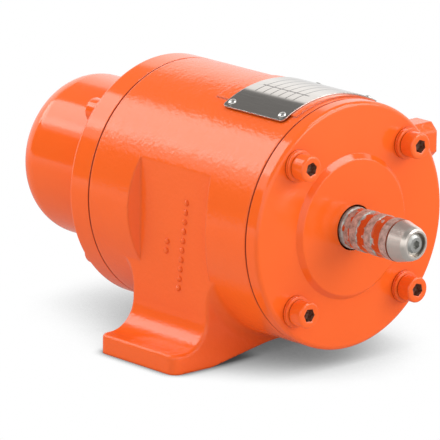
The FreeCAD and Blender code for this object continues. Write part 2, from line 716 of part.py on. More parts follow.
pad_sketch = axial_sketch(housing, "plate_pad_section", 90)
pad_front = front_face - size.plate_pad_front
outline(pad_sketch, [
    (housing_radius - 1, pad_front - size.plate_pad_length),
    (plate_inner, pad_front - size.plate_pad_length),
    (plate_inner, pad_front),
    (housing_radius - 1, pad_front),
])
turn_about(housing, "plate_pad", pad_sketch, angle=size.plate_pad_arc)

bore_sketch = axial_sketch(housing, "bore_section")
bore_radius = size.stator_bore / 2
register_radius = size.register_diameter / 2
outline(bore_sketch, [
    (0, rear_joint),
    (register_radius, rear_joint),
    (register_radius, plate_front_face),
    (bore_radius, plate_front_face),
    (bore_radius, front_joint - size.front_register),
    (register_radius, front_joint - size.front_register),
    (register_radius, front_joint),
    (0, front_joint),
])
turn_about(housing, "bore", bore_sketch, cut=True)

tap_turn = math.radians(45)
for name, station, reverse in (("front", front_joint, False), ("rear", rear_joint, True)):
    hole_sketch = cross_sketch(housing, name + "_screw_holes", station)
    for quarter in range(4):
        angle = tap_turn + quarter * math.pi / 2
        circle(hole_sketch, screw_reach * math.cos(angle), screw_reach * math.sin(angle), screw_radius)
    add_feature(housing, "Pocket", name + "_screw_threads", hole_sketch,
                Length=size.screw_grip + size.tap_runout, Reversed=reverse)

inlet_mouth = side_sketch(housing, "inlet_mouth", size.inlet_reach)
circle(inlet_mouth, size.inlet_height, inlet_station, size.inlet_thread / 2)
add_feature(housing, "Pocket", "inlet_thread", inlet_mouth, Length=size.inlet_thread_depth)
lead_sketch = side_sketch(housing, "lead_hole_mouth", size.inlet_reach)
circle(lead_sketch, size.inlet_height, inlet_station, size.lead_hole / 2)
bore_wall = leg_of(bore_radius, size.inlet_height)
add_feature(housing, "Pocket", "lead_hole", lead_sketch,
            Length=size.inlet_reach - bore_wall + size.lead_hole_overrun)

foot_holes = housing.newObject("Sketcher::SketchObject", "foot_holes")
foot_plane = next(item for item in housing.Origin.OriginFeatures if item.Role == "XZ_Plane")
foot_holes.AttachmentSupport = [(foot_plane, "")]
foot_holes.MapMode = "FlatFace"
foot_holes.AttachmentOffset = FreeCAD.Placement(FreeCAD.Vector(0, 0, size.axis_height.value),
                                                FreeCAD.Rotation())
foot_holes.setExpression("AttachmentOffset.Base.z", size.axis_height.text)
for reach in (-size.toe_hole_reach, size.heel_hole_reach):
    for side in (1, -1):
        circle(foot_holes, reach, size.foot_hole_spacing / 2 * side, size.foot_thread / 2)
add_feature(housing, "Pocket", "foot_threads", foot_holes, Length=size.foot_thread_depth)

rivet_front = front_face - size.plate_front - size.rivet_inset
rivet_back = front_face - size.plate_front - size.plate_length + size.rivet_inset
for name, turn in (("left", 90 + size.rivet_angle.value), ("right", 90 - size.rivet_angle.value)):
    rivet_sketch = side_sketch(housing, name + "_rivet_holes", plate_inner, turn)
    for station in (rivet_front, rivet_back):
        circle(rivet_sketch, 0, station, size.rivet_diameter / 2)
    add_feature(housing, "Pocket", name + "_rivet_drilling", rivet_sketch,
                Length=size.rivet_depth + size.plate_pad_height)


# ---- front shield: rim, raised centre, spigot and the hub that carries seal and bearing ----

groove_floor = register_radius - size.o_ring_groove
front_ring = front_joint - size.front_ring_setback
shield = turned_body("front_shield", [
    (size.shaft_hole_diameter / 2, seal_front),
    (size.shaft_hole_diameter / 2, front_face + size.boss_height),
    (size.boss_top_diameter / 2, front_face + size.boss_height, size.boss_edge),
    (size.boss_base_diameter / 2, front_face),
    (housing_radius, front_face, size.rim_round),
    (housing_radius, front_joint + chamfer),
    (housing_radius - chamfer, front_joint),
    (register_radius, front_joint),
    (register_radius, front_ring),
    (groove_floor, front_ring),
    (groove_floor, front_ring - size.o_ring_section),
    (register_radius, front_ring - size.o_ring_section),
    (register_radius, front_joint - size.front_register),
    (size.shield_hub_diameter / 2, front_joint - size.front_register, size.shield_hub_root),
    (size.shield_hub_diameter / 2, front_bearing_back),
    (size.front_bearing_diameter / 2, front_bearing_back),
    (size.front_bearing_diameter / 2, spring_front),
    (size.seal_diameter / 2, spring_front),
    (size.seal_diameter / 2, seal_front),
])


def drill_screw_holes(body, mouth, depth):
    """One clearance hole for a joint screw, repeated round the shaft."""
    hole_sketch = cross_sketch(body, body.Label + "_hole", mouth)
    spot = screw_reach * math.cos(tap_turn)
    circle(hole_sketch, spot, spot, screw_radius + size.screw_clearance)
    hole = add_feature(body, "Pocket", body.Label + "_screw_hole", hole_sketch, Length=depth)
    ring_of(body, [hole], 4)


drill_screw_holes(shield, front_face, size.rim_thickness)


# ---- rear cover: one casting of flange and dome ----

dome_radius = size.dome_diameter / 2
cavity_radius = dome_radius - size.dome_wall
cavity_end = dome_end + size.dome_wall
plate_hub_radius = size.rear_bearing_diameter / 2 + size.plate_hub_wall
recess_radius = plate_hub_radius + size.recess_gap
cover = turned_body("rear_cover", [
    (0, dome_end),
    (dome_radius, dome_end, size.dome_corner),
    (dome_radius, rear_face, size.dome_root),
    (housing_radius, rear_face, size.rim_round),
    (housing_radius, rear_joint - chamfer),
    (housing_radius - chamfer, rear_joint),
    (register_radius + size.locating_fit, rear_joint),
    (register_radius + size.locating_fit, rear_joint - size.cover_register),
    (recess_radius, rear_joint - size.cover_register),
    (recess_radius, cover_recess_end),
    (cavity_radius, cover_recess_end),
    (cavity_radius, cavity_end, size.dome_corner - size.dome_wall),
    (0, cavity_end),
])
drill_screw_holes(cover, rear_joint, size.flange_thickness)


# ---- rear bearing plate: clamped between housing and rear cover ----

lip_radius = size.rear_bearing_diameter / 2 - size.plate_lip
clip_front = rear_bearing_back
clip_back = rear_bearing_back - size.ring_clip_thickness
rear_ring = plate_front_face - size.plate_ring_setback
clip_seat = size.rear_bearing_diameter / 2 + size.clip_groove
turned_body("rear_bearing_plate", [
    (lip_radius, lip_front),
    (plate_hub_radius, lip_front),
    (plate_hub_radius, plate_front_face),
    (register_radius, plate_front_face),
    (register_radius, rear_ring),
    (groove_floor, rear_ring),
    (groove_floor, rear_ring - size.o_ring_section),
    (register_radius, rear_ring - size.o_ring_section),
    (register_radius, rear_joint - size.cover_register),
    (plate_hub_radius, rear_joint - size.cover_register),
    (plate_hub_radius, plate_hub_end),
    (size.rear_bearing_diameter / 2, plate_hub_end),
    (size.rear_bearing_diameter / 2, clip_back),
    (clip_seat, clip_back),
    (clip_seat, clip_front),
    (size.rear_bearing_diameter / 2, clip_front),
    (size.rear_bearing_diameter / 2, rear_bearing_front),
    (lip_radius, rear_bearing_front),
])


# ---- sealing rings, squeezed in their grooves at the two joints ----

for label, front in (("front_o_ring", front_ring), ("rear_o_ring", rear_ring)):
    turned_body(label, [
        (groove_floor, front, size.o_ring_round),
        (groove_floor, front - size.o_ring_section, size.o_ring_round),
        (register_radius, front - size.o_ring_section, size.o_ring_round),
        (register_radius, front, size.o_ring_round),
    ])


# ---- joint screws and their washers, four at each end ----

def screw_ring(label, face, outward):
    """Four socket screws; outward is +1 for the front end and -1 for the rear end."""
    body = add_body(label, many=True)
    seat = face + size.washer_thickness * outward
    head_end = seat + size.screw_head_height * outward
    joint = front_joint if outward > 0 else rear_joint
    tip = joint - size.screw_grip * outward
    head_radius = size.screw_head_diameter / 2
    sketch = axial_sketch(body, label + "_section", 45)
    outline(sketch, [
        (screw_reach, tip),
        (screw_reach + screw_radius, tip, size.screw_tip),
        (screw_reach + screw_radius, seat),
        (screw_reach + head_radius, seat),
        (screw_reach + head_radius, head_end, size.screw_head_round),
        (screw_reach, head_end),
    ])
    axis = centre_line(sketch, (screw_reach, tip), (screw_reach, head_end))
    shank = turn_about(body, label + "_turned", sketch, axis)
    socket_sketch = cross_sketch(body, label + "_socket", head_end)
    spot = screw_reach * math.cos(tap_turn)
    hexagon(socket_sketch, spot, spot, size.screw_socket, 30.0)
    socket = add_feature(body, "Pocket", label + "_hexagon", socket_sketch,
                         Length=size.screw_socket_depth, Reversed=outward < 0)
    ring_of(body, [shank, socket], 4)


def washer_ring(label, face, outward):
    """Four pairs of wedge-lock washers, with the fine joint between the halves of a pair."""
    body = add_body(label, many=True)
    inner = screw_reach + screw_radius + size.screw_clearance
    outer = screw_reach + size.washer_diameter / 2
    middle = face + size.washer_thickness / 2 * outward
    top = face + size.washer_thickness * outward
    sketch = axial_sketch(body, label + "_section", 45)
    outline(sketch, [
        (inner, face),
        (outer, face),
        (outer, middle - size.washer_joint / 2),
        (outer - size.washer_joint, middle),
        (outer, middle + size.washer_joint / 2),
        (outer, top),
        (inner, top),
    ])
    axis = centre_line(sketch, (screw_reach, face), (screw_reach, top))
    ring_of(body, [turn_about(body, label + "_turned", sketch, axis)], 4)


screw_ring("front_screws", front_face, 1)
washer_ring("front_lock_washers", front_face, 1)
screw_ring("rear_screws", rear_face, -1)
washer_ring("rear_lock_washers", rear_face, -1)


# ---- nameplate and its rivets ----

nameplate = add_body("nameplate")
plate_sketch = axial_sketch(nameplate, "nameplate_section", 90)
plate_front = front_face - size.plate_front
outline(plate_sketch, [
    (plate_inner, plate_front - size.plate_length),
    (plate_outer, plate_front - size.plate_length),
    (plate_outer, plate_front),
    (plate_inner, plate_front),
])
sheet_metal = turn_about(nameplate, "nameplate_sheet", plate_sketch, angle=size.plate_arc)


def is_plate_corner(edge):
    return near(edge.Length, size.plate_thickness)


dress(nameplate, "Fillet", "nameplate_corners", sheet_metal,
      edges_where(sheet_metal, is_plate_corner), Radius=size.plate_corner)
for name, turn in (("left", 90 + size.rivet_angle.value), ("right", 90 - size.rivet_angle.value)):
    hole_sketch = side_sketch(nameplate, name + "_plate_holes", plate_outer + 1, turn)
    for station in (rivet_front, rivet_back):
        circle(hole_sketch, 0, station, size.rivet_diameter / 2)
    add_feature(nameplate, "Pocket", name + "_plate_drilling", hole_sketch,
                Length=size.plate_thickness + 2)

rivets = add_body("nameplate_rivets", many=True)
for side, turn in (("left", 90 + size.rivet_angle.value), ("right", 90 - size.rivet_angle.value)):
    for end, station in (("front", rivet_front), ("rear", rivet_back)):
        name = side + "_" + end + "_rivet"
        sketch = axial_sketch(rivets, name + "_section", turn)
        shank = size.rivet_diameter / 2
        head = size.rivet_head_diameter / 2
        head_seat = plate_outer + size.rivet_seat
        crown = head_seat + size.rivet_head_height
        bottom = housing_radius - size.rivet_depth
        dome = (head * head + size.rivet_head_height * size.rivet_head_height) / size.rivet_head_height / 2
        outline(sketch, [
            (bottom, station),
            (bottom, station + shank),
            (head_seat, station + shank),
            (head_seat, station + head),
            Arc(crown - dome, station, dome, False),
            (crown, station),
        ])
        axis = centre_line(sketch, (bottom, station), (crown, station))
        turn_about(rivets, name, sketch, axis)


# ---- stator: slotted stack and its winding ----

stator = add_body("stator_core")
stack_sketch = cross_sketch(stator, "stack_section", stack_back)
circle(stack_sketch, 0, 0, bore_radius)
circle(stack_sketch, 0, 0, size.stator_inner / 2)
add_feature(stator, "Pad", "stack", stack_sketch, Length=size.stack_length)
slot_sketch = cross_sketch(stator, "slot_section", stack_back)
slot_mouth = size.stator_inner / 2
slot_neck = slot_mouth + size.slot_lip
slot_floor = slot_neck + size.slot_depth
outline(slot_sketch, [
    (-size.slot_opening / 2, slot_mouth - 1),
    (size.slot_opening / 2, slot_mouth - 1),
    (size.slot_opening / 2, slot_neck),
    (size.slot_width / 2, slot_neck + size.slot_shoulder),
    (size.slot_width / 2, slot_floor),
    (-size.slot_width / 2, slot_floor),
    (-size.slot_width / 2, slot_neck + size.slot_shoulder),
    (-size.slot_opening / 2, slot_neck),
])
slot = add_feature(stator, "Pocket", "slot", slot_sketch, Length=size.stack_length, Reversed=True)
ring_of(stator, [slot], size.slot_count)

# Both end windings and the conductors through the slots, one impregnated mass.
winding = add_body("stator_winding")
coil_inner = slot_neck + size.slot_shoulder + size.coil_clearance
coil_outer = coil_inner + size.overhang_thickness
coil_front = stack_front + size.overhang_lift
coil_back = stack_back - size.overhang_lift
winding_sketch = axial_sketch(winding, "overhang_section")
for near_end, far_end in ((coil_front, coil_front + size.overhang_length),
                          (coil_back, coil_back - size.overhang_length)):
    outline(winding_sketch, [
        (coil_inner, near_end),
        (coil_inner, far_end, size.overhang_round),
        (coil_outer, far_end, size.overhang_round),
        (coil_outer, near_end, size.overhang_heel),
    ])
winding.AllowCompound = True
overhang = turn_about(winding, "overhangs", winding_sketch)
BITE = 1.0
bar_sketch = cross_sketch(winding, "conductor_section", coil_back - BITE)
conductor_half = size.slot_width / 2 - size.coil_clearance
conductor_inner = coil_inner + size.coil_clearance
outline(bar_sketch, [
    (-conductor_half, conductor_inner),
    (conductor_half, conductor_inner),
    (conductor_half, slot_floor - size.coil_clearance),
    (-conductor_half, slot_floor - size.coil_clearance),
])
conductors = add_feature(winding, "Pad", "conductors", bar_sketch,
                         Length=size.stack_length + 2 * (size.overhang_lift + BITE))
ring_of(winding, [conductors], size.slot_count)


# ---- shaft seal and the wave spring that loads the front bearing ----

seal_land = size.seal_land_diameter / 2
lip_end = seal_front - size.seal_lip_reach
turned_body("shaft_seal", [
    (size.seal_diameter / 2, seal_front),
    (size.seal_diameter / 2, seal_back),
    (size.seal_diameter / 2 - size.seal_wall, seal_back),
    (size.seal_diameter / 2 - size.seal_wall, seal_front - size.seal_web),
    (seal_land + size.seal_lip_root, seal_front - size.seal_web),
    (seal_land + size.seal_lip_back, lip_end),
    (seal_land + size.seal_lip_edge, lip_end),
    (seal_land + size.seal_running, seal_front - size.seal_lip_line),
    (seal_land + size.seal_lip_neck, seal_front - size.seal_neck_line),
    (seal_land + size.seal_throat, seal_front),
])

wave_outer = size.front_bearing_diameter / 2 - size.spring_clearance
wave_inner = wave_outer - size.spring_width
crest = (size.spring_height - size.spring_thickness) / 2
wave_middle = spring_front - size.spring_height / 2
STEPS_A_WAVE = 12


def wave_line(radius, lift):
    """A closed curve that rises and falls with the spring's waves."""
    points = []
    waves = int(round(size.spring_waves.value))
    for step in range(waves * STEPS_A_WAVE):
        angle = 2 * math.pi * step / (waves * STEPS_A_WAVE)
        rise = wave_middle.value + lift + crest.value * math.cos(waves * angle)
        points.append(FreeCAD.Vector(radius.value * math.cos(angle), radius.value * math.sin(angle), rise))
    curve = Part.BSplineCurve()
    curve.interpolate(points, PeriodicFlag=True)
    return curve.toShape()


half_sheet = size.spring_thickness.value / 2
wave_edges = [wave_line(radius, lift) for radius, lift in
              ((wave_inner, -half_sheet), (wave_outer, -half_sheet),
               (wave_outer, half_sheet), (wave_inner, half_sheet))]
wave_faces = [Part.makeRuledSurface(wave_edges[index], wave_edges[(index + 1) % 4]) for index in range(4)]
wave_solid = Part.makeSolid(Part.makeShell(wave_faces))
if wave_solid.Volume < 0:
    wave_solid.reverse()
spring = doc.addObject("Part::Feature", "bearing_preload_spring")
spring.Label = "bearing_preload_spring"
spring.Shape = wave_solid
spring.Placement = motor_place


# ---- deep-groove ball bearings: rings, balls and cage ----

# Height of a ring's shoulders and half the height of the cage, as shares of the ball's radius.
SHOULDER = 0.66
CAGE_HALF = 0.42


def ball_bearing(name, outside, width, ball_diameter, ball_count, front):
    """Two grooved rings, the balls between them and a cage that keeps the balls apart."""
    bore = size.journal_diameter / 2
    outer = outside / 2
    pitch = (bore + outer) / 2
    ball = ball_diameter / 2
    track = ball + size.ball_clearance
    back = front - width
    middle = front - width / 2
    inner_shoulder = pitch - SHOULDER * ball
    outer_shoulder = pitch + SHOULDER * ball
    half_track = leg_of(track, pitch - inner_shoulder)
    turned_body(name + "_bearing_inner_ring", [
        (bore, back, size.bearing_round),
        (inner_shoulder, back, size.shoulder_round),
        (inner_shoulder, middle - half_track),
        Arc(pitch, middle, track, False),
        (inner_shoulder, middle + half_track),
        (inner_shoulder, front, size.shoulder_round),
        (bore, front, size.bearing_round),
    ])
    turned_body(name + "_bearing_outer_ring", [
        (outer, back, size.bearing_round),
        (outer, front, size.bearing_round),
        (outer_shoulder, front, size.shoulder_round),
        (outer_shoulder, middle + half_track),
        Arc(pitch, middle, track, False),
        (outer_shoulder, middle - half_track),
        (outer_shoulder, back, size.shoulder_round),
    ])
    balls = add_body(name + "_bearing_balls", many=True)
    sketch = axial_sketch(balls, name + "_ball_section")
    outline(sketch, [
        (pitch, middle - ball),
        Arc(pitch, middle, ball, True),
        (pitch, middle + ball),
    ])
    axis = centre_line(sketch, (pitch, middle - ball), (pitch, middle + ball))
    ring_of(balls, [turn_about(balls, name + "_ball", sketch, axis)], ball_count)

    cage = add_body(name + "_bearing_cage")
    pocket = ball + size.pocket_clearance
    rim = pocket + size.cage_rim
    cage_sketch = axial_sketch(cage, name + "_cage_section")
    cage_half = CAGE_HALF * ball
    outline(cage_sketch, [
        (pitch - cage_half, middle - rim),
        (pitch + cage_half, middle - rim),
        (pitch + cage_half, middle + rim),
        (pitch - cage_half, middle + rim),
    ])
    turn_about(cage, name + "_cage_ring", cage_sketch)
    pocket_sketch = axial_sketch(cage, name + "_pocket_section")
    outline(pocket_sketch, [
        (pitch + pocket, middle),
        Arc(pitch, middle, pocket, True),
        (pitch - pocket, middle),
    ])
    axis = centre_line(pocket_sketch, (pitch - pocket, middle), (pitch + pocket, middle))
    pocket_cut = turn_about(cage, name + "_cage_pocket", pocket_sketch, axis, cut=True)
    ring_of(cage, [pocket_cut], ball_count)


ball_bearing("front", size.front_bearing_diameter, size.front_bearing_width,
             size.front_ball_diameter, size.front_ball_count, front_bearing_front)
ball_bearing("rear", size.rear_bearing_diameter, size.rear_bearing_width,
             size.rear_ball_diameter, size.rear_ball_count, rear_bearing_front)


# ---- retaining rings: one in the bearing plate, one on the shaft ----

bearing_clip = add_body("rear_bearing_circlip")
clip_sketch = cross_sketch(bearing_clip, "circlip_section", clip_back)
clip_inner = clip_seat - size.clip_width
circle(clip_sketch, 0, 0, clip_seat)
circle(clip_sketch, 0, 0, clip_inner)
add_feature(bearing_clip, "Pad", "circlip_ring", clip_sketch, Length=size.ring_clip_thickness)
gap_sketch = cross_sketch(bearing_clip, "circlip_gap", clip_front)
outline(gap_sketch, [
    (-size.clip_gap, clip_inner - 2),
    (size.clip_gap, clip_inner - 2),
    (size.clip_gap, clip_seat + 1),
    (-size.clip_gap, clip_seat + 1),
])
add_feature(bearing_clip, "Pocket", "circlip_opening", gap_sketch, Length=size.ring_clip_thickness)


# ---- motor shaft ----

stub_radius = size.stub_diameter / 2
seat_radius = size.rotor_seat_diameter / 2
journal_radius = size.journal_diameter / 2
weight_seat = size.weight_seat_diameter / 2
stub_back = seal_front + size.stub_runout
clip_floor = weight_seat - size.shaft_clip_groove
journal_front = front_bearing_front + size.journal_overrun
nose_hole_end = stub_front - size.nose_screw_reach - size.nose_tap_runout
nose_thread = size.nose_screw_diameter / 2
shaft_path = [
    (0, shaft_back),
    (weight_seat - size.tail_chamfer, shaft_back),
    (weight_seat, shaft_back + size.tail_chamfer),
    (weight_seat, shaft_clip_back),
    (clip_floor, shaft_clip_back),
    (clip_floor, end_washer_back),
    (weight_seat, end_washer_back),
    (weight_seat, rear_bearing_back),
    (journal_radius, rear_bearing_back),
    (journal_radius, rear_bearing_front),
    (seat_radius, rear_bearing_front),
    (seat_radius, front_bearing_back),
    (journal_radius, front_bearing_back),
    (journal_radius, journal_front),
    (seal_land, journal_front + size.journal_ramp),
    (seal_land, stub_back - size.land_ramp),
    (stub_radius, stub_back),
]
for number in range(int(round(size.groove_count.value))):
    groove = front_face + size.groove_start + size.groove_pitch * number
    floor = stub_radius - size.groove_depth
    shaft_path += [
        (stub_radius, groove - size.groove_ramp),
        (floor, groove),
        (floor, groove + size.groove_width),
        (stub_radius, groove + size.groove_width + size.groove_ramp),
    ]
shaft_path += [
    (stub_radius, stub_front - size.stub_chamfer),
    (stub_radius - size.stub_chamfer, stub_front),
    (nose_thread, stub_front),
    (nose_thread, nose_hole_end),
    (0, nose_hole_end),
]
shaft = turned_body("motor_shaft", shaft_path)

key_floor = size.key_height / 2
keyway = cross_sketch(shaft, "keyway_section", weights_front - size.key_inset)
key_half = size.key_width / 2
outline(keyway, [
    (-key_half, -(weight_seat + 1)),
    (key_half, -(weight_seat + 1)),
    (key_half, key_floor - weight_seat),
    (-key_half, key_floor - weight_seat),
])
add_feature(shaft, "Pocket", "keyway", keyway, Length=size.key_length)


# ---- rotor stack and its cast cage ----

rotor = add_body("rotor_core")
rotor_sketch = cross_sketch(rotor, "rotor_section", stack_back)
circle(rotor_sketch, 0, 0, rotor_radius)
circle(rotor_sketch, 0, 0, seat_radius)
add_feature(rotor, "Pad", "rotor_stack", rotor_sketch, Length=size.stack_length)
bar_radius = size.cage_bar_diameter / 2
bar_pitch = rotor_radius - size.cage_bar_cover - bar_radius
hole_sketch = cross_sketch(rotor, "bar_hole_section", stack_back)
circle(hole_sketch, 0, bar_pitch, bar_radius)
bar_hole = add_feature(rotor, "Pocket", "bar_hole", hole_sketch, Length=size.stack_length, Reversed=True)
ring_of(rotor, [bar_hole], size.cage_bars)

cage = add_body("rotor_cage")
cage_sketch = axial_sketch(cage, "end_ring_section")
ring_outer = rotor_radius - size.end_ring_step
for near_end, far_end in ((stack_front, stack_front + size.end_ring_length),
                          (stack_back, stack_back - size.end_ring_length)):
    outline(cage_sketch, [
        (ring_outer - size.end_ring_wall, near_end),
        (ring_outer - size.end_ring_wall, far_end),
        (ring_outer - size.end_ring_draft, far_end),
        (ring_outer, near_end),
    ])
cage.AllowCompound = True
end_rings = turn_about(cage, "end_rings", cage_sketch)
bar_sketch = cross_sketch(cage, "bar_section", stack_back - BITE)
circle(bar_sketch, 0, bar_pitch, bar_radius)
bars = add_feature(cage, "Pad", "bars", bar_sketch, Length=size.stack_length + 2 * BITE)
ring_of(cage, [bars], size.cage_bars)


# ---- eccentric weights and what holds them ----

def eccentric_weight(label, back, keyed):
    """A split hub with a heavy sector below the shaft, clamped by a screw across the slit."""
    body = add_body(label)
    section = cross_sketch(body, label + "_section", back)
    hub = size.weight_hub_radius
    rise = -size.weight_rise
    sector_side = leg_of(size.weight_radius, size.weight_rise)
    hub_side = leg_of(hub, size.weight_rise)
    outline(section, [
        (-sector_side, rise),
        Arc(0, 0, size.weight_radius, True),
        (sector_side, rise),
        (hub_side, rise),
        Arc(0, 0, hub, True),
        (-hub_side, rise),
    ])
    circle(section, 0, 0, weight_seat)
    add_feature(body, "Pad", label + "_plate", section, Length=size.weight_thickness)
    slit = cross_sketch(body, label + "_slit_section", back)
    half_slit = size.weight_slit / 2
    outline(slit, [
        (-half_slit, 0),
        (half_slit, 0),
        (half_slit, hub + 1),
        (-half_slit, hub + 1),
    ])
    add_feature(body, "Pocket", label + "_slit", slit, Length=size.weight_thickness, Reversed=True)
    middle = back + size.weight_thickness / 2
    spot_edge = size.clamp_height - size.clamp_head_diameter / 2 - size.clamp_spot_margin
    for side, name in ((1, "_head_spot"), (-1, "_tail_spot")):
        spot = side_sketch(body, label + name + "_section", (hub + 1) * side)
        outline(spot, [
            (spot_edge, middle - size.weight_thickness),
            (spot_edge, middle + size.weight_thickness),
            (hub + 1, middle + size.weight_thickness),
            (hub + 1, middle - size.weight_thickness),
        ])
        add_feature(body, "Pocket", label + name, spot, Length=hub + 1 - size.clamp_spot_depth,
                    Reversed=side < 0)
    bolt = side_sketch(body, label + "_bolt_section", size.clamp_spot_depth)
    circle(bolt, size.clamp_height, middle, size.clamp_diameter / 2)
    add_feature(body, "Pocket", label + "_bolt_hole", bolt, Length=2 * size.clamp_spot_depth)
    if keyed:
        seat = cross_sketch(body, label + "_key_section", back)
        outline(seat, [
            (-key_half, 0),
            (-key_half, key_floor - weight_seat - size.key_height),
            (key_half, key_floor - weight_seat - size.key_height),
            (key_half, 0),
        ])
        add_feature(body, "Pocket", label + "_keyway", seat, Length=size.weight_thickness, Reversed=True)


eccentric_weight("fixed_weight", fixed_weight_back, True)
eccentric_weight("adjustable_weight", free_weight_back, False)

key = add_body("weight_key")
key_sketch = cross_sketch(key, "key_section", weights_front - size.key_inset)
outline(key_sketch, [
    (-key_half, key_floor - weight_seat - size.key_height),
    (key_half, key_floor - weight_seat - size.key_height),
    (key_half, key_floor - weight_seat),
    (-key_half, key_floor - weight_seat),
])
add_feature(key, "Pad", "key_bar", key_sketch, Length=size.key_length, Reversed=True)

clamps = add_body("weight_clamp_screws", many=True)
clamp_radius = size.clamp_diameter / 2
clamp_head = size.clamp_head_diameter / 2
clamp_line = size.clamp_height
for name, back in (("fixed", fixed_weight_back), ("adjustable", free_weight_back)):
    middle = back + size.weight_thickness / 2
    turning = cross_sketch(clamps, name + "_clamp_section", middle)
    head_end = size.clamp_spot_depth + size.clamp_head_height
    outline(turning, [
        (-size.clamp_spot_depth, clamp_line),
        (-size.clamp_spot_depth, clamp_line + clamp_radius),
        (size.clamp_spot_depth, clamp_line + clamp_radius),
        (size.clamp_spot_depth, clamp_line + clamp_head),
        (head_end, clamp_line + clamp_head, size.clamp_head_round),
        (head_end, clamp_line),
    ])
    axis = centre_line(turning, (-size.clamp_spot_depth, clamp_line), (head_end, clamp_line))
    turn_about(clamps, name + "_clamp_screw", turning, axis)

turned_body("weight_spacer", [
    (weight_seat, weights_front),
    (size.spacer_diameter / 2, weights_front),
    (size.spacer_diameter / 2, rear_bearing_back),
    (weight_seat, rear_bearing_back),
])
turned_body("weight_washer", [
    (weight_seat, end_washer_back),
    (size.end_washer_diameter / 2, end_washer_back, size.end_washer_round),
    (size.end_washer_diameter / 2, free_weight_back),
    (weight_seat, free_weight_back),
])

shaft_clip = add_body("shaft_circlip")
shaft_clip_sketch = cross_sketch(shaft_clip, "shaft_circlip_section", shaft_clip_back)
circle(shaft_clip_sketch, 0, 0, weight_seat + size.shaft_clip_rise)
circle(shaft_clip_sketch, 0, 0, clip_floor)
add_feature(shaft_clip, "Pad", "shaft_circlip_ring", shaft_clip_sketch, Length=size.ring_clip_thickness)
shaft_gap = cross_sketch(shaft_clip, "shaft_circlip_gap", end_washer_back)
gap_end = weight_seat + size.shaft_clip_rise + 1
outline(shaft_gap, [
    (-size.shaft_clip_gap, 0),
    (size.shaft_clip_gap, 0),
    (size.shaft_clip_gap, gap_end),
    (-size.shaft_clip_gap, gap_end),
])
add_feature(shaft_clip, "Pocket", "shaft_circlip_opening", shaft_gap, Length=size.ring_clip_thickness)


# ---- nose cone and the screw that holds it ----

nose_end = size.nose_end_diameter / 2
counterbore = size.nose_counterbore / 2
turned_body("nose_cone", [
    (nose_thread, stub_front),
    (stub_radius - size.nose_seat, stub_front),
    (stub_radius - size.nose_rise, stub_front + size.nose_seat),
    (stub_radius - size.nose_shoulder, stub_front + size.nose_rear),
    (nose_end + size.nose_front_taper, nose_front - size.nose_front_part),
    (nose_end, nose_front - size.nose_chamfer),
    (nose_end - size.nose_chamfer, nose_front),
    (counterbore, nose_front),
    (counterbore, nose_screw_seat),
    (nose_thread, nose_screw_seat),
])

nose_screw = add_body("nose_screw")
nose_head = size.nose_screw_head / 2
nose_head_end = nose_screw_seat + size.nose_screw_head_height
nose_sketch = axial_sketch(nose_screw, "nose_screw_section")
outline(nose_sketch, [
    (0, stub_front - size.nose_screw_reach),
    (nose_thread, stub_front - size.nose_screw_reach, size.clamp_head_round),
    (nose_thread, nose_screw_seat),
    (nose_head, nose_screw_seat),
    (nose_head, nose_head_end - size.nose_screw_slope_height),
    (nose_head - size.nose_screw_slope, nose_head_end),
    (0, nose_head_end),
])
turn_about(nose_screw, "nose_screw_turned", nose_sketch)
nose_socket = cross_sketch(nose_screw, "nose_socket", nose_head_end)
hexagon(nose_socket, 0, 0, size.nose_screw_socket, 30.0)
add_feature(nose_screw, "Pocket", "nose_hexagon", nose_socket, Length=size.nose_socket_depth)


# ---- check and export ----

doc.recompute()
pieces = [item for item in doc.Objects if item.isDerivedFrom("PartDesign::Body")]
pieces += [item for item in doc.Objects if item.TypeId == "Part::Feature"]
for item in doc.Objects:
    if "Invalid" in item.State or "Error" in item.State:
        raise RuntimeError("%s failed: %s" % (item.Label, item.State))
for piece in pieces:
    if piece.Shape.isNull() or not piece.Shape.isValid() or not piece.Shape.Solids:
        raise RuntimeError("%s has no valid solid" % piece.Label)

os.makedirs("parts", exist_ok=True)
for piece in pieces:
    piece.Shape.exportStep("parts/%s.step" % piece.Label)
    print("%-28s solids %2d  volume %10.1f" % (piece.Label, len(piece.Shape.Solids), piece.Shape.Volume))
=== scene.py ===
"""The looks of a foot-mounted vibration motor: enamelled castings, steel shaft, nameplate and screws.

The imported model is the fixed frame. Lengths are in metres. The sections follow the motor from its
housing outwards, and each holds the sizes, colours, mesh and material of its own piece.
"""

import math

import bmesh
import bpy
from mathutils import Matrix, Vector


